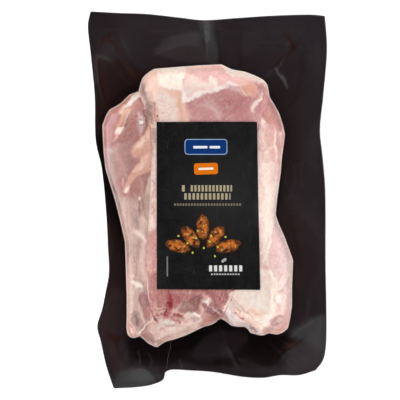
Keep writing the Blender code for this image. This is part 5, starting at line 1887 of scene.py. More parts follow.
MIDDLE_FLESH = Look(RUSSET, (
    # Strip of pale flesh left of the label.
    Streak(SKIN, ((-33, 50), (-33.5, 24), (-34, 0), (-35, -20)), (4.2, 4.2, 4.2, 3.2), 1.2, 1.0),
    Streak(GREY, ((-34.2, 50), (-33.8, 44), (-34.2, 37)), (1.2, 1.4, 0.7), 1.2, 0.8),
    Streak(PEACH, ((-36, 48), (-36.2, 36), (-36, 28)), (0.5, 1.2, 0.5), 0.6, 0.8),
    Streak(LILAC, ((-35.6, 30), (-35.8, 22), (-36, 14)), (0.6, 0.8, 0.6), 0.9, 0.6),
    Streak(PALE, ((-33.8, 32), (-34.2, 22), (-34.4, 14), (-34.4, 0)), (1.0, 2.0, 2.0, 1.6), 1.0, 0.85),
    Streak(STAIN, ((-35.6, 13.6), (-34, 11.6), (-34.6, 9)), (0.2, 0.5, 0.3), 0.5, 0.5),
    Streak(STAIN, ((-34, 7.6), (-34.6, 4), (-35.4, 1.6)), (0.3, 0.6, 0.4), 0.6, 0.45),
    Streak(BLUSH, ((-33, 9), (-33.5, 2)), (0.8, 0.8), 0.9, 0.5),
    Streak(STAIN, ((-35.6, -3), (-34.6, -6), (-35.2, -9.6)), (0.4, 0.6, 0.3), 0.7, 0.45),
    Streak(PALE, ((-35.6, -11), (-34.4, -17)), (1.2, 1.4), 1.0, 0.6),
    # Red muscle and the cut end below the label.
    Patch(ROSE, ((-37, -20), (-28, -20), (-28, -44), (-34, -46), (-38, -44)), 1.2, 0.95),
    Grain(PEACH, ((-37.6, -22), (-32, -22), (-32, -44), (-38, -44)), (2.0, 1.4), 30, 41, 0.6, False),
    Streak(PEACH, ((-37.6, -30), (-37, -42), (-35.4, -46.4), (-33, -45)), (0.6, 1.4, 1.4, 0.8), 1.0, 0.7),
    Patch(RED, ((-36, -47), (-30, -46), (2, -46), (6, -60), (-2, -63), (-9, -62), (-17, -64), (-22, -70),
                (-28, -71), (-34, -70), (-37, -64), (-37.4, -54)), 1.0, 1.0),
    POCKET,
    POCKET_EDGE,
    Streak(RED, ((-36.4, -64), (-35.4, -68), (-34.4, -71)), (0.8, 1.4, 0.8), 1.0, 0.7),
    Streak(PALE, ((-39.4, -47), (-38.2, -56), (-37.2, -62), (-35.4, -67.6), (-33, -72)),
           (0.4, 0.6, 0.3, 0.25, 0.2), 0.4, 0.6, 0.3),
    Grain(ROSE, ((-37, -50), (-26, -57), (-2, -58), (0, -62), (-18, -63), (-26, -69), (-35, -70)),
          (5.0, 1.7), 74, 43, 0.6),
    Patch(RUSSET, ((-36, -50), (-27, -56), (-26.4, -64), (-29, -69), (-35, -68), (-37, -60)), 1.6, 0.5),
    Grain(WINE, ((-37, -50), (-24, -57), (-2, -58), (-4, -62), (-18, -64), (-24, -72), (-35, -71)),
          (6.0, 1.6), 80, 44, 0.35),
    Streak(BLUSH, ((-22, -58.4), (-12, -58.6), (-2, -59)), (0.5, 0.8, 0.6), 1.2, 0.6),
    Streak(RUSSET, ((-16, -61.6), (-11, -60.6), (-6, -60)), (0.8, 1.2, 0.8), 1.0, 0.6),
    Patch(PINK, ((-35, -72), (-30, -69.6), (-25, -71), (-20, -70), (-16, -72), (-12, -73), (-13, -78),
                 (-24, -78), (-35, -80)), 1.4, 0.75),
    Grain(STAIN, ((-35, -68), (-28, -67), (-18, -70), (-13, -72), (-14, -79), (-26, -77), (-33, -79)),
          (2.0, 1.5), 35, 45, 0.9, False, 0.55),
    Streak(LIGHT, ((-34, -68.4), (-31, -69.4), (-27.6, -69)), (0.3, 0.4, 0.2), 0.4, 0.75, 0.3),
    Streak(LIGHT, ((-33, -71), (-30, -71.6), (-27.6, -71)), (0.2, 0.3, 0.2), 0.4, 0.6, 0.3),
    Grain(LIGHT, ((-35, -66), (-28, -66), (-18, -66), (-12, -72), (-14, -79), (-26, -77), (-33, -79)),
          (2.4, 1.3), -50, 46, 0.7),
    # Grey hollow with its dark corner.
    Patch(TAN, ((-18.6, -67), (-14, -64), (-6, -61.4), (-3.6, -64), (-4.6, -71), (-9, -72.6), (-14, -71.4),
                (-19, -70)), 1.2, 0.75, -0.5),
    Streak(SHANK, ((-17, -68.6), (-12.6, -67), (-9, -68.8)), (0.6, 1.3, 0.8), 1.0, 0.5),
    Grain(WINE, ((-18, -68), (-14, -64), (-5, -61), (-4, -70), (-12, -71)), (3.4, 1.3), 20, 47, 0.7),
    Streak(DEEP, ((-12, -63.6), (-7.4, -62.4), (-5, -63.6), (-5.6, -66.4)), (0.5, 1.1, 1.3, 0.7), 0.8, 0.8),
    Streak(RED, ((-20.8, -65.4), (-19.6, -64.2), (-17.8, -64.8), (-17.8, -66.4), (-19.4, -67)), (0.25,),
           0.4, 0.6),
    Streak(WINE, ((-10.6, -69), (-7.6, -70.4), (-6, -68.6)), (0.5, 0.9, 0.6), 0.9, 0.7),
    Streak(LILAC, ((-19.6, -70), (-18.4, -67), (-16, -65.4)), (0.4, 0.6, 0.3), 0.7, 0.6),
    Streak(STAIN, ((-20.6, -65), (-18.8, -64.4), (-17.4, -65.4)), (0.3, 0.4, 0.3), 0.5, 0.7),
    # Fat along the lower edge.
    Patch(DULL, ((-39, -84), (-35, -79), (-28, -75.6), (-21, -76.4), (-13, -76.4), (-4, -78), (-8, -84),
                 (-20, -89), (-30, -92)), 1.0, 1.0, 0.6),
    Patch(PALE, ((-33.6, -80), (-30.6, -77.6), (-26, -75.8), (-21, -76.4), (-20, -80), (-24, -84),
                 (-31, -84.4)), 1.0, 0.75, 0.3),
    Streak(WHITE, ((-31, -77.4), (-26.4, -76.8), (-22, -77.6)), (0.8, 1.3, 0.6), 0.8, 0.7),
    Streak(GREY, ((-27.6, -79), (-22, -79.6), (-18.6, -81)), (0.4, 0.8, 0.4), 0.9, 0.5),
    Patch(CREAM, ((-19, -79), (-6, -78), (-7, -83), (-20, -88), (-24, -86)), 1.0, 0.6),
    Grain(CREAM, ((-36, -80), (-26, -77), (-6, -78), (-12, -85), (-28, -89)), (4.2, 1.6), 10, 48, 0.7),
    Grain(MAUVE, ((-36, -82), (-24, -77), (-8, -76), (-8, -80), (-26, -88), (-34, -88)), (3.4, 1.7), -15,
          49, 0.6),
    Streak(LIGHT, ((-30, -86), (-20, -84.4), (-12, -82)), (1.0, 1.4, 1.0), 1.0, 0.7),
    Streak(COPPER, ((-30, -82.2), (-28.4, -81.6), (-26.6, -82)), (0.4, 0.9, 0.4), 0.7, 0.65),
    Streak(COPPER, ((-15.6, -80.6), (-13.6, -80), (-12, -80.6)), (0.4, 0.7, 0.4), 0.7, 0.45),
    Streak(MAUVE, ((-23.6, -79.6), (-20, -79.2), (-17, -80.4)), (0.4, 0.9, 0.4), 1.0, 0.5),
    Streak(ROSE, ((-29.6, -90), (-26.4, -88.2), (-24.4, -87)), (0.3, 0.7, 0.3), 0.6, 0.6),
    Streak(LIGHT, ((-24, -89), (-14, -86.4), (-5, -82)), (0.8, 1.0, 0.8), 0.9, 0.9),
    Patch(MAUVE, ((-43, -86), (-39, -81), (-36, -84), (-33, -88), (-29.4, -90), (-30, -96), (-39, -93)),
          0.8, 0.95),
    Patch(TAN, ((-40, -83), (-36.4, -84), (-33, -88), (-32.6, -92), (-38, -90)), 1.4, 0.6),
    Streak(PEACH, ((-37.4, -79.4), (-35.4, -79.8), (-33.6, -79)), (0.6, 1.3, 0.6), 0.8, 0.8),
    Streak(LILAC, ((-37.4, -82.4), (-35.4, -84.4), (-33.4, -87)), (0.4, 0.7, 0.4), 0.6, 0.6, 0.3),
    Streak(LILAC, ((-37, -91), (-33.4, -92), (-30.6, -90.6)), (0.4, 0.9, 0.5), 0.8, 0.6),
    Streak(CREAM, ((-37.4, -77.8), (-35.8, -76.4), (-34.2, -75)), (0.5, 0.7, 0.4), 0.4, 0.85, 0.3),
    Patch(TAN, ((-40, -72), (-36, -85), (-28, -88), (-10, -83), (-12, -78), (-26, -75), (-33, -72)), 2.6,
          0.28),
    Patch(WINE, ((-9, -61), (2, -60), (7, -68), (10, -75), (3, -75), (-3, -71), (-9, -68)), 1.8, 0.55),
    Streak(PALE, ((-15, -72.8), (-12, -72.2), (-9.4, -73.2)), (0.6, 1.1, 0.6), 0.8, 0.7),
    # Blood in the opened vein, and spots round it.
    Streak(STAIN, ((-24.4, -57), (-24.2, -62), (-24.2, -67), (-26, -74)), (0.8, 1.5, 2.2, 1.6), 0.9, 0.6),
    Streak(BLOOD, ((-24.6, -57), (-24.4, -60.4), (-23.7, -63.4)), (0.3, 0.4, 0.5), 0.35, 0.8),
    Patch(BLOOD, ((-25.4, -64.4), (-23.6, -64), (-22.2, -66.6), (-23.4, -69), (-25.4, -68.6), (-25, -67)),
          0.6, 0.85),
    Grain(BLOOD, ((-23, -63), (-21.6, -67), (-23.4, -72), (-26, -75), (-29, -74), (-27.6, -68), (-26, -63)),
          (1.5, 1.3), 70, 61, 0.9, False, 0.7, 0.8),
    spot(CLOT, -23.8, -67.2, 0.7, 0.5, 0.6),
    Streak(STAIN, ((-22.4, -75), (-19, -73.6), (-16, -74.6)), (0.6, 1.3, 0.7), 0.6, 0.75),
    Streak(CLOT, ((-21, -73.9), (-18.9, -73.3)), (0.5, 0.7), 0.4, 0.9),
    spot(BLOOD, -17.2, -73.6, 0.7, 0.4, 0.95),
    spot(STAIN, -21.8, -76.5, 0.6, 0.4, 0.8),
    spot(BLOOD, -19.8, -77.4, 0.5, 0.4, 0.6),
    spot(STAIN, -17.9, -77.8, 0.6, 0.4, 0.8),
    spot(DEEP, -14.1, -75.4, 0.5, 0.4, 0.8),
    spot(BLOOD, -15.6, -77.0, 0.4, 0.4, 0.5),
    spot(WINE, -28.6, -72.0, 0.7, 0.6, 0.6),
    spot(STAIN, -30.6, -73.6, 0.6, 0.5, 0.7),
    spot(STAIN, -27.8, -74.6, 0.5, 0.4, 0.6),
    Streak(STAIN, ((-35, -70), (-33.6, -74), (-31.6, -78.6)), (0.4, 0.9, 0.5), 0.7, 0.7),
    Streak(CLOT, ((-33.9, -72.4), (-33.5, -74.6), (-32.8, -77)), (0.3, 0.7, 0.5), 0.4, 0.95, -0.3),
    Streak(PINK, ((-35.2, -72), (-34.8, -74.6), (-34.4, -77)), (0.2, 0.4, 0.3), 0.5, 0.6, 0.3),
    # Cut end of the bone and sinews beside the middle crease.
    Patch(LIGHT, ((-13, -74), (-8, -72.8), (-3.6, -75), (-3, -79), (-8, -79.8), (-12.4, -78)), 0.8, 0.85,
          0.5),
    Patch(GREY, ((-11, -75), (-7.6, -74.2), (-5, -76), (-6, -78), (-9.6, -77.6)), 0.6, 0.85),
    Streak(WHITE, ((-12.6, -74), (-8, -72.6), (-4.6, -74.4), (-4, -77)), (0.4, 0.7, 0.6, 0.4), 0.5, 0.85,
           0.3),
    Streak(PEACH, ((-12, -79.4), (-9, -80)), (0.5, 0.6), 0.7, 0.5),
    Streak(DULL, ((-4, -67), (-3.4, -72), (-3.6, -76)), (0.7, 1.2, 0.8), 0.8, 0.9),
    Streak(TAN, ((-2, -68), (-2.4, -71.4), (-3.4, -74)), (0.3, 0.6, 0.4), 0.6, 0.7),
    Patch(BROWN, ((-3, -72), (1, -71), (5, -72.6), (9.6, -75.4), (4, -77), (0, -78), (-3.6, -76)), 0.8,
          1.0),
    Patch(WINE, ((0, -67), (4, -69), (8, -73), (4, -74), (-1, -71), (-2, -68)), 0.9, 0.85),
    Streak(DEEP, ((0, -71), (4, -72.6), (8.6, -74)), (0.6, 1.1, 0.8), 0.9, 0.7),
    Streak(RUSSET, ((-2.6, -77.6), (0, -77.8), (3, -77)), (0.6, 0.9, 0.6), 0.7, 0.8),
    Streak(DULL, ((-3, -80), (2, -79.2), (7, -76.8)), (0.6, 0.8, 0.5), 0.7, 0.8),
    Streak(BLUSH, ((-3, -60), (-1, -62), (1.6, -62.6)), (0.9, 1.3, 0.8), 0.9, 0.8),
    Streak(PINK, ((-3.6, -66), (-0.6, -62), (2.2, -63.6)), (0.6, 1.2, 0.8), 0.8, 0.7, 0.4),
    Streak(WHITE, ((-2, -64.6), (-0.2, -64.8), (1, -63.6), (0.8, -66.4)), (0.4, 0.8, 1.0, 0.5), 0.5, 0.95,
           0.8),
    Streak(WINE, ((-3.4, -66), (-1.4, -68.4), (1.6, -69.6)), (0.4, 0.9, 0.6), 0.6, 0.7),
    Streak(SINEW, ((1.4, -68), (4.6, -70), (8.6, -73)), (0.2, 0.25, 0.2), 0.35, 0.8, 0.4),
), run=80.0, fine=0.1)

RIGHT_FLESH = Look(PALE, (
    # Upper end: muscle showing past the skin's edge.
    Patch(RED, ((31, 62), (39, 68), (44, 63), (48, 56), (47, 44), (44, 46), (40, 48), (36, 53), (31, 56)),
          1.2, 0.85),
    Grain(BLUSH, ((34, 62), (40, 66), (47, 54), (44, 46), (37, 53)), (3.6, 1.4), 60, 51, 0.7),
    Streak(BLUSH, ((41, 67), (46.6, 57), (49.6, 45), (48, 34)), (1.0, 2.0, 2.0, 1.6), 1.2, 0.95),
    Streak(LIGHT, ((44, 64), (48.6, 54), (50.6, 43), (49.4, 36)), (0.4, 0.6, 0.6, 0.4), 0.7, 0.5),
    Streak(RUSSET, ((38, 60), (37.6, 55.6), (39.6, 51), (43, 47.4)), (1.0, 2.2, 2.0, 0.8), 1.2, 0.8),
    Streak(BLUSH, ((35.4, 61), (36.4, 58), (36, 55.4)), (0.4, 0.6, 0.4), 0.7, 0.6),
    Streak(LILAC, ((31, 54.8), (32.6, 53), (34.6, 51.4)), (0.5, 0.8, 0.5), 0.9, 0.7),
    Patch(SKIN, ((29, 53.4), (33, 48.8), (37, 45.8), (41.4, 44.4), (43, 38), (44, 26), (38, 24), (31, 28)),
          0.9, 0.95, 0.3),
    Grain(ROSE, ((31, 50), (36, 49), (42, 45), (43, 30), (38, 24), (31, 24)), (3.6, 1.5), 55, 52, 0.6),
    Grain(CREAM, ((31, 50), (36, 51), (42, 46), (43, 30), (38, 22), (31, 16)), (3.4, 1.3), -35, 53, 0.6),
    Patch(RUSSET, ((32.6, 56.4), (35, 52.4), (38.8, 48.8), (43, 46.6), (42.4, 51), (39, 56), (36, 60)), 1.0,
          0.8),
    Patch(BLUSH, ((37, 49), (42, 48), (46, 43), (46, 30), (44, 22), (40, 26), (38.4, 36), (37, 43)), 1.2,
          0.8),
    Streak(ROSE, ((38.6, 48.4), (40.6, 46), (43.6, 45)), (0.8, 1.4, 0.8), 1.2, 0.7),
    Streak(ROSE, ((45.6, 46), (45, 41), (44, 36)), (0.8, 1.4, 0.8), 1.0, 0.7),
    Streak(PEACH, ((40.6, 44), (41.6, 39), (41, 34)), (0.9, 1.7, 0.9), 1.2, 0.6),
    Streak(PEACH, ((40, 31.6), (41.4, 27.6), (42.4, 24)), (0.9, 1.4, 0.7), 1.2, 0.55),
    Streak(MAUVE, ((32.6, 36), (33.4, 33), (35.6, 31)), (0.7, 1.0, 0.4), 1.0, 0.45),
    Streak(RUSSET, ((45, 44), (45.2, 38), (44.8, 32)), (0.6, 1.0, 0.5), 0.9, 0.6),
    Streak(CREAM, ((42.6, 46.4), (43.4, 41), (42.8, 35), (44, 28), (44.2, 22)), (0.3, 0.6, 0.6, 0.6, 0.3),
           0.5, 0.85, 0.6),
    Streak(CREAM, ((36, 29), (40, 32.4), (42.8, 34)), (0.3, 0.5, 0.4), 0.6, 0.55, 0.4),
    Streak(BLUSH, ((46.4, 32), (46.4, 24), (45.6, 12)), (0.9, 1.2, 0.8), 1.0, 0.7),
    Streak(DULL, ((43.4, 24), (43.2, 18), (42.4, 13)), (0.8, 1.4, 0.7), 1.2, 0.6),
    Streak(LILAC, ((46.6, 22), (46.8, 14), (46, 8)), (0.4, 0.6, 0.4), 0.6, 0.7),
    # Long pale skin beside the label.
    Streak(SKIN, ((33, 28), (33.4, 10), (33.6, -6)), (1.6, 1.6, 1.4), 1.6, 0.5),
    Streak(PINK, ((41, 22), (41, 14), (40.6, 8)), (1.0, 1.6, 0.8), 1.4, 0.6),
    Grain(PINK, ((32, 24), (42, 22), (42, -4), (40, -28), (34, -40), (32, -10)), (6.0, 1.8), 88, 54, 0.7),
    Streak(FAT, ((38.5, 8), (40, 0), (39, -12), (38, -24), (37, -34)), (1.4, 2.0, 2.0, 1.6, 1.2), 1.8, 0.8),
    Streak(PINK, ((33, -14), (33.4, -22), (33.6, -32)), (0.7, 0.9, 0.7), 1.0, 0.6),
    Streak(DULL, ((44.2, 8), (43.4, 2), (42.8, -6)), (0.3, 0.4, 0.3), 0.6, 0.4),
    Streak(WHITE, ((42.4, 6), (42.2, -2), (42, -10)), (0.5, 0.7, 0.5), 0.8, 0.8, 0.4),
    # Waist: the skin's folded edge over a lilac membrane.
    Patch(LILAC, ((43.6, 2), (45, -6), (50, -20), (58, -38), (57, -66), (50, -66), (45, -56), (42, -50),
                  (38.4, -41), (40.4, -30), (42, -16)), 1.0, 0.9),
    Patch(PINK, ((41, -18), (44, -20), (46, -34), (44, -45), (40, -46), (39, -38), (41, -28)), 2.4, 0.6),
    Grain(ROSE, ((42, -12), (46, -14), (54, -36), (54, -44), (40, -46), (41, -28)), (3.0, 2.0), 40, 55,
          0.35),
    Streak(FAT, ((41.6, -12), (40.8, -18), (39.4, -27), (37.4, -35), (35.4, -39.6)),
           (0.5, 0.9, 1.1, 1.2, 0.9), 0.6, 0.95, 0.8),
    Streak(DULL, ((41.6, -20), (40.6, -28), (38.4, -36), (36.6, -40.6)), (0.2, 0.4, 0.4, 0.2), 0.6, 0.6),
    Streak(PEACH, ((34, -42), (36.6, -42.8), (39, -45.4)), (0.9, 1.7, 0.7), 1.2, 0.6, 0.3),
    Streak(WARM, ((35, -44), (37.4, -45.6)), (1.2, 1.0), 1.0, 0.6),
    Streak(PALE, ((35.4, -38), (36.4, -41)), (1.6, 1.4), 1.2, 0.8),
    Streak(WHITE, ((34.6, -46), (36, -50), (36, -55)), (1.2, 1.9, 1.2), 1.4, 0.9),
    Streak(WHITE, ((39.6, -44), (41.6, -50), (42.8, -56)), (0.5, 0.9, 0.7), 0.8, 0.8),
    # Cream fold down the thick end, with slanting folds beside it.
    Streak(WARM, ((35.6, -50), (36.6, -58), (37, -64)), (0.8, 1.4, 0.8), 1.4, 0.6),
    Streak(FAT, ((38.7, -46), (41.6, -52), (42, -60), (40.6, -68), (37, -76), (34, -83)),
           (1.2, 2.0, 2.2, 2.4, 2.0, 1.0), 1.1, 0.95, 1.0),
    # Painted highlight along the fold's crest, over its white fat.
    Streak(WHITE, ((41, -58), (40.6, -66), (37.6, -73)), (0.7, 1.4, 0.8), 1.2, 0.8, 0.4),
    Streak(YELLOW, ((34.6, -79), (36, -81), (37, -84)), (0.5, 0.9, 0.5), 1.0, 0.4),
    Patch(SKIN, ((43, -48), (51, -44), (54, -46), (54, -60), (48, -70), (43.6, -70), (43.4, -60)), 1.6,
          0.6),
    Streak(CREAM, ((43, -50), (45.4, -53.4), (47.6, -49)), (0.9, 1.5, 0.8), 1.0, 0.75),
    Streak(PALE, ((52.6, -47), (49, -52.5), (44.8, -58)), (0.5, 0.8, 0.5), 0.6, 0.8, 0.6),
    Streak(GREY, ((52.4, -50), (49.4, -55), (45.6, -59.4)), (0.3, 0.6, 0.4), 0.5, 0.65, -0.4),
    Streak(MAUVE, ((47.6, -47), (45.4, -51), (44.4, -54)), (0.3, 0.4, 0.3), 0.7, 0.35),
    Streak(SKIN, ((50, -50), (50, -54), (48.6, -57)), (0.8, 1.4, 0.8), 1.0, 0.7),
    Streak(PALE, ((53, -55), (50.6, -59), (49, -64)), (0.6, 1.0, 0.7), 1.0, 0.6, 0.4),
    Patch(SKIN, ((43.4, -69), (48, -66), (53.4, -66), (53.4, -74), (47, -75), (42, -76)), 1.4, 0.75),
    Streak(WHITE, ((45, -61.6), (45.6, -64.6)), (1.3, 1.4), 0.8, 0.9, 0.8),
    Streak(DULL, ((43.4, -61), (43.6, -65.6), (46, -67.6)), (0.3, 0.5, 0.3), 0.7, 0.5),
    Streak(PINK, ((53.6, -62), (51, -70), (48, -74.6)), (0.8, 1.4, 0.8), 1.2, 0.6),
    Streak(DULL, ((53.4, -66), (50.4, -73), (46.6, -76)), (0.2, 0.5, 0.3), 0.6, 0.6, -0.3),
    # Lower right: folded membrane over flesh.
    Patch(BLUSH, ((39, -80), (42, -75), (47, -73), (54, -71), (56, -84), (46, -88), (37, -86), (36, -82)),
          1.2, 0.9),
    Patch(MAUVE, ((40.6, -78.6), (43, -75), (48.6, -73.4), (49, -77), (46, -80), (42, -80.6)), 0.9, 0.75),
    Streak(DULL, ((43, -79), (45.4, -76.4), (48.4, -75.6)), (0.6, 1.3, 0.6), 0.7, 0.8, 0.4),
    Streak(WINE, ((40.8, -79), (42.4, -80.2), (44.4, -79.4)), (0.4, 0.7, 0.4), 0.6, 0.65),
    Streak(TAN, ((40.4, -77), (43.6, -74.6), (48.4, -73)), (0.3, 0.4, 0.3), 0.5, 0.6),
    Streak(GREY, ((37.6, -83.4), (40, -82), (43, -82.6)), (0.6, 1.2, 0.6), 0.8, 0.6),
    Streak(PEACH, ((44.6, -84), (48.4, -82.4), (51.6, -79)), (0.8, 1.5, 0.8), 1.0, 0.7),
    Streak(LILAC, ((50, -76), (52.4, -73.4), (53.4, -69)), (0.6, 1.0, 0.6), 0.9, 0.7),
    Grain(PALE, ((38, -82), (46, -80), (54, -72), (53, -84), (44, -88)), (3.0, 1.3), 35, 56, 0.55),
    Grain(TAN, ((36, -84), (42, -80), (52, -78), (50, -86), (38, -88)), (3.0, 1.4), 20, 57, 0.4),
    # Skin under the label's lower corner and the joint beside the notch.
    Patch(CREAM, ((15, -56), (36, -56), (39, -66), (36, -76), (31, -80), (24, -72), (18, -64)), 1.4, 0.95,
          0.3),
    Patch(WHITE, ((20, -56), (36, -56), (36.6, -66), (30, -68), (24, -65)), 2.0, 0.6),
    Grain(WARM, ((17, -58), (36, -58), (38, -68), (34, -80), (22, -68)), (3.6, 2.2), 30, 58, 0.35),
    Streak(LILAC, ((25, -62), (28.6, -62.6), (31, -60)), (0.8, 1.2, 0.8), 1.6, 0.4),
    Streak(WARM, ((26, -70), (30, -71.4), (34, -73)), (1.2, 2.2, 1.2), 1.6, 0.8),
    Streak(COPPER, ((26.4, -70.6), (30, -71.6), (33, -72.4)), (0.6, 1.0, 0.5), 1.4, 0.3),
    Streak(WHITE, ((27, -66), (32, -66.6), (36, -68)), (1.2, 2.0, 1.2), 1.4, 0.7),
    Streak(RUSSET, ((25, -71), (27, -73.4)), (0.3, 0.4), 0.5, 0.6),
    Patch(CARTILAGE, ((10, -68), (14.6, -64), (17, -67), (20, -71), (25, -75.6), (31, -80), (33, -84),
                      (22, -84), (14, -83), (8, -77)), 1.0, 0.95, 0.5),
    Grain(PALE, ((11, -68), (15, -66), (20, -73), (26, -78), (24, -82), (14, -81)), (3.4, 1.3), -50, 59,
          0.7),
    Streak(RUSSET, ((9.8, -71), (11.6, -75), (14.8, -79.6)), (0.5, 1.1, 0.5), 0.9, 0.75),
    Streak(LILAC, ((15.6, -76.4), (19.4, -78.4), (24, -78.6)), (0.8, 1.5, 0.9), 1.0, 0.5),
    Streak(PALE, ((17.4, -74.6), (20.4, -76.8), (24, -77.4)), (0.6, 1.2, 0.6), 0.9, 0.6),
    Streak(WINE, ((15, -80.6), (18, -81.8), (23, -82)), (0.2, 0.4, 0.2), 0.5, 0.5),
    Streak(CREAM, ((13.6, -64.6), (12.6, -68), (12.2, -71)), (0.9, 1.4, 0.8), 0.8, 0.85),
    Streak(WHITE, ((13.4, -71), (15, -75.4), (18.4, -78.8)), (0.6, 0.9, 0.6), 0.8, 0.75),
    Streak(CREAM, ((15.2, -62.4), (19.4, -68), (24, -73), (30, -79), (34, -83)), (0.8, 1.2, 1.5, 1.5, 0.8),
           0.5, 0.9, 0.5),
    Patch(WARM, ((16.4, -69.4), (19, -68.6), (22.4, -70), (24, -73.6), (21.4, -75.4), (18.6, -74),
                 (16.6, -71.6)), 0.5, 0.85, 0.8),
    Streak(CREAM, ((18.6, -71.4), (20.6, -70.4), (22.6, -72.6)), (0.5, 0.9, 0.5), 0.5, 0.85, 0.3),
    Streak(TAN, ((19, -69.6), (20.6, -70.8), (20, -72.4)), (0.2, 0.25, 0.2), 0.3, 0.6),
    Streak(TAN, ((14.4, -61.8), (17.9, -66.9), (19.6, -69.6)), (0.2, 0.3, 0.2), 0.5, 0.6, -0.2),
    Streak(TAN, ((16.3, -61.8), (21.1, -68.8), (25.6, -72), (30.7, -77.1), (35.8, -81.3)),
           (0.25, 0.3, 0.3, 0.25, 0.2), 0.5, 0.5, -0.2),
    Streak(COPPER, ((25.4, -74.4), (29.4, -78.4), (33.4, -82.4)), (0.2, 0.25, 0.2), 0.35, 0.6),
    Streak(STAIN, ((17.2, -71.2), (19.2, -73.7), (21.8, -75), (24, -75)), (0.25, 0.35, 0.6, 0.3), 0.4,
           0.85),
    Streak(PEACH, ((22, -75.6), (25, -77)), (0.7, 0.9), 0.9, 0.5),
    spot(BLOOD, 22.8, -74.7, 0.6, 0.4, 0.75),
    spot(STAIN, 17.2, -72.0, 0.5, 0.4, 0.7),
    Streak(STAIN, ((11.8, -63), (13, -64), (15.4, -63.4)), (0.3, 0.7, 0.4), 0.5, 0.8),
    Streak(TAN, ((26.4, -78.8), (29, -81.6), (31.4, -84)), (0.4, 1.1, 0.6), 0.8, 0.75),
    Streak(WARM, ((25, -76), (28.6, -78.4), (32, -81)), (0.7, 1.2, 0.9), 0.8, 0.9, 0.4),
    Streak(DULL, ((28, -84.6), (34, -86), (40, -85)), (0.9, 1.2, 0.9), 0.9, 0.85),
), run=80.0, fine=0.07)


# ---- Label ----


@dataclass(frozen=True)
class Bar:
    """A printed box with rounded corners: centre, half-sizes, corner radius, turn and colour."""

    centre: Pair
    half: Pair
    corner: float
    ink: Colour
    turn: float = 0.0
    pitch: float = 0.0


# Inks that several bars share.
SAND = (176, 162, 136)
CHALK_WHITE = (235, 240, 245)


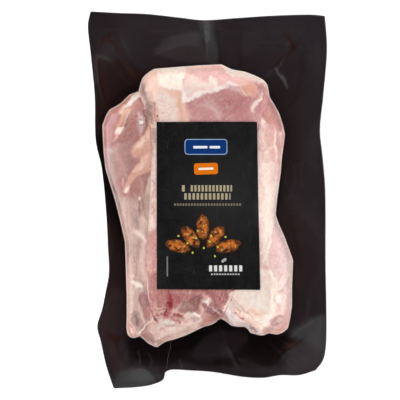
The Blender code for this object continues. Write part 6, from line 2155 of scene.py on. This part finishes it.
@dataclass(frozen=True)
class LabelFinish:
    """Slate-dark label stock with a painted sheen towards its middle, and its print: fields of colour and
    simple shapes, no lettering.
    """

    stock: Colour = (9, 9, 10)
    stock_sheen: Colour = (35, 35, 35)
    chalk: Colour = (38, 38, 38)
    dust: Colour = (42, 42, 42)
    scratch: Colour = (62, 62, 62)
    roast: tuple[Colour, Colour] = ((56, 28, 22), (202, 112, 40))
    glint: Colour = (244, 196, 120)
    crust: Colour = (70, 34, 20)
    seed: Colour = (196, 196, 70)
    sheen_centre: Pair = (10.0, 4.0)
    sheen_reach: Pair = (44.0, 50.0)
    bars: tuple[Bar, ...] = (
        Bar((-1.0, 33.8), (13.6, 5.0), 2.2, (150, 176, 205)),
        Bar((-1.0, 33.8), (13.1, 4.5), 1.8, (0, 50, 114)),
        Bar((-4.6, 33.6), (4.6, 0.8), 0.7, CHALK_WHITE),
        Bar((4.6, 33.6), (3.4, 0.8), 0.7, CHALK_WHITE),
        Bar((-1.0, 19.9), (7.6, 3.6), 1.6, (226, 116, 8), 0.03),
        Bar((-1.0, 19.9), (4.8, 0.7), 0.6, (250, 240, 225), 0.03),
        Bar((-15.4, 7.4), (0.9, 2.0), 0.3, SAND),
        Bar((2.0, 7.4), (13.6, 2.0), 0.3, SAND, 0.0, 2.3),
        Bar((-0.6, 2.3), (15.2, 2.0), 0.3, SAND, 0.0, 2.6),
        Bar((-0.4, -2.9), (21.6, 0.8), 0.2, (122, 114, 98), 0.0, 1.8),
        Bar((-25.6, -42.2), (0.45, 6.4), 0.2, (120, 120, 116)),
        Bar((10.9, -43.5), (11.2, 1.9), 0.5, (226, 226, 224), 0.0, 3.2),
        Bar((11.2, -47.2), (9.6, 0.5), 0.2, (190, 190, 188), 0.0, 1.7),
        Bar((10.4, -38.4), (1.8, 0.9), 0.8, (170, 170, 168), 0.6),
    )
    wedge_count: int = 5
    wedge_reach: float = 14.0
    wedge_half: Pair = (8.0, 4.0)
    wedge_centre: Pair = (-3.0, -33.0)
    seed_count: int = 11
    seed_half: Pair = (0.75, 0.6)
    roughness: Pair = (0.48, 0.62)
    grain: float = 0.00003
    gloss: float = 0.12

    @staticmethod
    def light(seen: Colour) -> Tint:
        """A printed colour as linear light with full opacity."""
        return (*linear_light(seen).tolist(), 1.0)

    @staticmethod
    def _turned(nodes: NodeTree, flat: object, centre: Pair, turn: float,
                scale: Pair = (1.0, 1.0)) -> bpy.types.NodeSocket:
        """Plan position seen from a shape's centre, turned and scaled with it."""
        return nodes.add("Mapping", {"vector_type": "TEXTURE"}, Vector=flat, Location=(*centre, 0.0),
                         Rotation=(0.0, 0.0, turn), Scale=(*scale, 1.0)).outputs[0]

    def _box(self, nodes: NodeTree, flat: object, bar: Bar) -> bpy.types.NodeSocket:
        """Share of a bar's ink: the distance outside a smaller box, less its corner radius, is below zero."""
        at = self._turned(nodes, flat, bar.centre, bar.turn)
        inner = (bar.half[0] - bar.corner, bar.half[1] - bar.corner, 0.0)
        past = nodes.vectors("SUBTRACT", nodes.vectors("ABSOLUTE", at), inner)
        length = nodes.vectors("LENGTH", nodes.vectors("MAXIMUM", past, (0.0, 0.0, 0.0)))
        share = nodes.ease(length, bar.corner - 0.06, bar.corner + 0.06, 1.0, 0.0)
        if not bar.pitch:
            return share
        across = nodes.add("SeparateXYZ", Vector=at).outputs[0]
        cell = nodes.maths("FRACT", nodes.maths("DIVIDE", nodes.maths("ADD", across, bar.half[0]), bar.pitch))
        return nodes.maths("MULTIPLY", share, nodes.ease(cell, 0.34, 0.44))

    def material(self) -> bpy.types.Material:
        """Builds the material on plan positions in millimetres."""
        nodes = NodeTree("label_print")
        plan = nodes.place((1000.0, 1000.0, 0.0))
        # Painted sheen: the stock lightens towards a centre.
        at = self._turned(nodes, plan, self.sheen_centre, 0.0, self.sheen_reach)
        away = nodes.vectors("LENGTH", at)
        sheen = nodes.ease(away, 0.0, 1.0, 1.0, 0.0)
        stock = nodes.mix(sheen, self.light(self.stock), self.light(self.stock_sheen))
        dust = nodes.noise(95.0, 6.0, 0.7, (1.0, 0.7, 0.0), 0.8)
        chalk = nodes.noise(1100.0, 2.0, 0.6)
        stock = nodes.mix(nodes.ease(chalk, 0.4, 0.75, 0.0, 0.5), stock, self.light(self.chalk))
        stock = nodes.mix(nodes.ease(dust, 0.45, 0.78, 0.0, 0.35), stock, self.light(self.dust))
        scratch = nodes.noise(240.0, 2.0, 0.5, (1.0, 0.12, 0.0), 1.5)
        stock = nodes.mix(nodes.ease(scratch, 0.66, 0.74, 0.0, 0.25), stock, self.light(self.scratch))
        colour = self._dish(nodes, plan, stock)
        for bar in self.bars:
            colour = nodes.mix(self._box(nodes, plan, bar), colour, self.light(bar.ink))
        return nodes.principled(
            Base_Color=colour, Roughness=nodes.ease(dust, 0.3, 0.8, *self.roughness),
            Normal=nodes.bump(nodes.noise(2400.0, 2.0, 0.5), self.grain, 0.5), Specular_IOR_Level=self.gloss)

    def _dish(self, nodes: NodeTree, plan: object, colour: object) -> bpy.types.NodeSocket:
        """The printed dish: a fan of roasted wedges with green seeds scattered over it."""
        browning = nodes.noise(300.0, 4.0, 0.65, (1.0, 1.0, 0.0), 0.6)
        dark, bright = (self.light(tone) for tone in self.roast)
        roast = nodes.mix(nodes.ease(browning, 0.35, 0.62), dark, bright)
        glint = nodes.ease(nodes.noise(520.0, 2.0, 0.5, (1.0, 1.0, 0.0)), 0.58, 0.7, 0.0, 0.7)
        roast = nodes.mix(glint, roast, self.light(self.glint))
        edge = nodes.noise(420.0, 2.0, 0.5, (1.0, 1.0, 0.0))
        for number in range(self.wedge_count):
            turn = math.pi * (number + 0.35) / (self.wedge_count - 0.3)
            reach = self.wedge_reach * (1.0 + 0.12 * (-1) ** number)
            centre = (self.wedge_centre[0] + 1.05 * reach * math.cos(turn),
                      self.wedge_centre[1] + reach * math.sin(turn))
            at = self._turned(nodes, plan, centre, turn, self.wedge_half)
            length = nodes.vectors("LENGTH", at)
            waves = nodes.maths("MULTIPLY", nodes.maths("SUBTRACT", edge, 0.5), 0.5)
            wavy = nodes.maths("ADD", length, waves)
            rim = nodes.ease(wavy, 0.55, 1.0, 0.0, 0.75)
            shaded = nodes.mix(rim, roast, self.light(self.crust))
            colour = nodes.mix(nodes.ease(wavy, 0.96, 1.04, 1.0, 0.0), colour, shaded)
        for number in range(self.seed_count):
            turn, reach = 2.4 * number, 4.0 + 1.25 * number
            centre = (self.wedge_centre[0] + 1.1 * reach * math.cos(turn),
                      self.wedge_centre[1] + 6.5 + 0.62 * reach * math.sin(turn))
            at = self._turned(nodes, plan, centre, turn, self.seed_half)
            length = nodes.vectors("LENGTH", at)
            colour = nodes.mix(nodes.ease(length, 0.85, 1.1, 1.0, 0.0), colour, self.light(self.seed))
        return colour


@dataclass
class Label(Sheet):
    """The stuck-on label: a thin sheet on the clear film, stiff enough to bridge its small dips."""

    finish: LabelFinish = LabelFinish()
    thickness: float = 0.14
    cells: tuple[int, int] = (116, 190)
    stiffness: float = 6.0
    edge_wave: float = 0.25
    lift: float = 0.35
    least_lift: float = 0.15

    def build(self) -> bpy.types.Object:
        """Makes the sheet: a grid between the four corners, over the stiffened surface of the film.

        Returns:
            The piece.
        """
        columns, rows = self.cells
        s = np.linspace(0.0, 1.0, columns + 1)[None, :, None]
        t = np.linspace(0.0, 1.0, rows + 1)[:, None, None]
        top_left, top_right, low_right, low_left = (np.array(corner, dtype=float) for corner in LABEL_CORNERS)
        plan = (1 - t) * ((1 - s) * top_left + s * top_right) + t * ((1 - s) * low_left + s * low_right)
        plan[..., 0] += self.edge_wave * np.sin(np.pi * t[..., 0]) * np.sin(3.0 * np.pi * s[..., 0])
        x, y = plan[..., 0], plan[..., 1]
        stiff = self.form.drawn_raster.closed(self.stiffness).softened(12)
        lower = np.maximum(stiff.at(x, y) + self.lift, self.form.drawn(x, y) + self.least_lift)
        count = (rows + 1) * (columns + 1)
        flat = plan.reshape(-1, 2)
        vertices = np.vstack([np.column_stack([flat, lower.ravel() + self.thickness]),
                              np.column_stack([flat, lower.ravel()])])
        i, j = np.meshgrid(np.arange(rows), np.arange(columns), indexing="ij")
        a = (i * (columns + 1) + j).ravel()
        side = np.column_stack([a, a + columns + 1, a + columns + 2, a + 1])
        rim = np.concatenate([np.arange(columns), np.arange(rows) * (columns + 1) + columns,
                              rows * (columns + 1) + np.arange(columns, 0, -1),
                              np.arange(rows, 0, -1) * (columns + 1)])
        following = np.roll(rim, -1)
        wall = np.column_stack([rim, following, count + following, count + rim])
        return make_piece("label_sheet", vertices, np.vstack([side, count + side[:, ::-1], wall]))


# ---- The whole pack ----


def outline_stretch(loop: Array, start: Pair, end: Pair,
                    clockwise: bool) -> Array:
    """The contents' outline from the place nearest to one plan point to that nearest to another.

    Args:
        loop: The outline, clockwise, with its first point repeated at the end.
        start: Plan point near which the stretch starts.
        end: Plan point near which it ends.
        clockwise: Which way round it runs.

    Returns:
        The stretch, with the two given points as its ends.
    """
    ring = loop[:-1] if clockwise else loop[:-1][::-1]
    first, last = (int(np.hypot(*(ring - point).T).argmin()) for point in (start, end))
    length = (last - first) % len(ring)
    places = (first + np.arange(1, length)) % len(ring)
    return np.vstack([start, ring[places], end])


@dataclass
class ChickenPack:
    """The pack: four drumsticks between their creases, two films and a label."""

    block: BlockForm = field(default_factory=BlockForm)
    crown_point: Pair = (-2.0, 86.5)
    cut_point: Pair = (-31.0, -93.5)
    grids: tuple[tuple[int, int], ...] = ((430, 100), (310, 150), (290, 140), (350, 130))
    raised_tips: tuple[float, ...] = (0.0, 0.0, 14.0, 0.0)
    # Strength of each drumstick's painted light on its shoulder.
    painted_shoulder_lights: tuple[float, ...] = (0.04, 0.16, 0.16, 0.16)
    rail_points: int = 500

    def drumsticks(self) -> tuple[Drumstick, ...]:
        """The four drumsticks, each between two rails made of outline stretches and creases.

        Returns:
            The left, top, middle and right drumstick.
        """
        loop = self.block.loop
        left, middle, right = (spline(crease, CREASE_SAMPLES)
                               for crease in (CREASE_LEFT, CREASE_MIDDLE, CREASE_RIGHT))
        fork = int(np.hypot(*(left - middle[0]).T).argmin())
        left_start, left_end, notch = CREASE_LEFT[0], CREASE_LEFT[-1], CREASE_MIDDLE[-1]
        right_start, right_end = CREASE_RIGHT[0], CREASE_RIGHT[-1]
        rails = {
            "drumstick_left": (outline_stretch(loop, left_start, left_end, False), left),
            "drumstick_top": (
                np.vstack([outline_stretch(loop, self.crown_point, left_start, False), left[1:fork], middle]),
                np.vstack([outline_stretch(loop, self.crown_point, right_start, True), right[1:]]),
            ),
            "drumstick_middle": (
                np.vstack([outline_stretch(loop, self.cut_point, left_end, True), left[::-1][1:-fork],
                           middle[:1]]),
                np.vstack([outline_stretch(loop, self.cut_point, notch, False), middle[::-1][1:]]),
            ),
            "drumstick_right": (right, outline_stretch(loop, right_start, right_end, True)),
        }
        flesh = (LEFT_FLESH, TOP_FLESH, MIDDLE_FLESH, RIGHT_FLESH)
        return tuple(
            Drumstick(name, *(even_samples(rail, self.rail_points) for rail in pair), look, *grid,
                      raised_tip=tip, painted_shoulder_light=light)
            for (name, pair), look, grid, tip, light
            in zip(rails.items(), flesh, self.grids, self.raised_tips, self.painted_shoulder_lights)
        )

    def build(self) -> None:
        """Builds, dresses and places every piece of the pack, and reports each."""
        sticks = self.drumsticks()
        meat = RawChickenFinish().material()
        for stick in sticks:
            piece = stick.build(self.block)
            piece.data.materials.append(meat)
            self._place(piece, "filled_pouch", "raw_chicken")
        form = PouchForm(self.block, sticks, TENTS, FOLDS)
        for maker, node, finish_slot in (
            (ClearFilm(form), "filled_pouch", "clear_film"),
            (BlackFilm(form), "back_film", "black_film"),
            (Label(form), "label", "label_print"),
        ):
            piece = maker.build()
            maker.dress(piece)
            self._place(piece, node, finish_slot)

    @staticmethod
    def _place(piece: bpy.types.Object, node: str, finish_slot: str) -> None:
        """Makes a piece ride with the pack and stand for a node of the model, and reports it."""
        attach(piece, "root")
        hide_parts(node)
        LOG.info("%s: %d faces, stands for %s", piece.name, len(piece.data.polygons), node)


# ---- Studio ----


@dataclass
class Studio:
    """Plain pale floor, soft light and a camera straight above the pack."""

    floor_half: float = 4.0
    floor_drop: float = 0.0006
    floor_glow: float = 0.6
    paper_tints: tuple[Tint, Tint] = ((0.955, 0.955, 0.955, 1), (0.975, 0.975, 0.975, 1))
    lens: float = 420.0
    sensor: float = 36.0
    frame_width: float = 0.256
    aim: Triple = (-0.0048, 0.0, 0.018)
    sky_levels: tuple[Pair, ...] = ((0.0, 1.45), (0.55, 1.3), (0.78, 0.42), (0.93, 0.1), (1.0, 0.06))
    # Each lamp's bearing and height angle in degrees, its size in metres and its power in watts.
    lamps: tuple[tuple[float, float, float, float], ...] = (
        (130.0, 38.0, 0.9, 3.4),
        (20.0, 34.0, 0.8, 3.4),
        (250.0, 36.0, 0.8, 2.6),
    )
    lamp_distance: float = 1.5

    def build(self) -> None:
        """Makes the floor, the light and the camera."""
        self._floor()
        self._sky()
        for bearing, height, size, power in self.lamps:
            self._lamp(bearing, height, size, power)
        self._camera()

    def _floor(self) -> None:
        """A wide pale plane just under the pack."""
        half, level = self.floor_half, -self.floor_drop
        mesh = bpy.data.meshes.new("floor")
        corners = [(-half, -half, level), (half, -half, level), (half, half, level), (-half, half, level)]
        mesh.from_pydata(corners, [], [(0, 1, 2, 3)])
        floor = bpy.data.objects.new("floor", mesh)
        bpy.context.scene.collection.objects.link(floor)
        nodes = NodeTree("studio_floor")
        paper = nodes.mix(nodes.noise(40.0), *self.paper_tints)
        floor.data.materials.append(nodes.principled(
            Base_Color=paper, Roughness=0.9, Specular_IOR_Level=0.1, Emission_Color=(1.0, 1.0, 1.0, 1.0),
            Emission_Strength=self.floor_glow))

    def _sky(self) -> None:
        """Soft light from all round: bright low down, dim straight above, so that flat film mirrors dark."""
        world = bpy.data.worlds.new("studio")
        bpy.context.scene.world = world
        world.use_nodes = True
        tree = world.node_tree
        tree.nodes.clear()
        direction = tree.nodes.new("ShaderNodeTexCoord")
        parts = tree.nodes.new("ShaderNodeSeparateXYZ")
        ramp = tree.nodes.new("ShaderNodeValToRGB")
        sky = tree.nodes.new("ShaderNodeBackground")
        output = tree.nodes.new("ShaderNodeOutputWorld")
        elements = ramp.color_ramp.elements
        while len(elements) < len(self.sky_levels):
            elements.new(0.5)
        for element, (height, level) in zip(elements, self.sky_levels):
            element.position = height
            element.color = (level, level, level, 1.0)
        tree.links.new(direction.outputs["Generated"], parts.inputs[0])
        tree.links.new(parts.outputs[2], ramp.inputs[0])
        tree.links.new(ramp.outputs[0], sky.inputs["Color"])
        tree.links.new(sky.outputs[0], output.inputs["Surface"])

    def _lamp(self, bearing: float, height: float, size: float, power: float) -> None:
        """A square soft lamp that faces the pack, at a bearing and a height angle in degrees."""
        lamp = bpy.data.lights.new("softbox", "AREA")
        lamp.shape = "SQUARE"
        lamp.size = size
        lamp.energy = power
        holder = bpy.data.objects.new("softbox", lamp)
        turn, lift = math.radians(bearing), math.radians(height)
        away = (math.cos(turn) * math.cos(lift), math.sin(turn) * math.cos(lift), math.sin(lift))
        holder.location = [self.lamp_distance * part for part in away]
        holder.rotation_euler = (math.pi / 2 - lift, 0.0, turn + math.pi / 2)
        bpy.context.scene.collection.objects.link(holder)

    def _camera(self) -> None:
        """A long lens straight above, as far up as the frame's width asks."""
        lens = bpy.data.cameras.new("camera")
        lens.lens = self.lens
        lens.sensor_width = self.sensor
        camera = bpy.data.objects.new("camera", lens)
        distance = self.frame_width * self.lens / self.sensor
        camera.location = (self.aim[0], self.aim[1], self.aim[2] + distance)
        bpy.context.scene.collection.objects.link(camera)
        bpy.context.scene.camera = camera
        bpy.context.scene.view_settings.view_transform = "Standard"


def main() -> None:
    """Builds the pack and its studio."""
    ChickenPack().build()
    Studio().build()


if __name__ == "__main__":
    main()
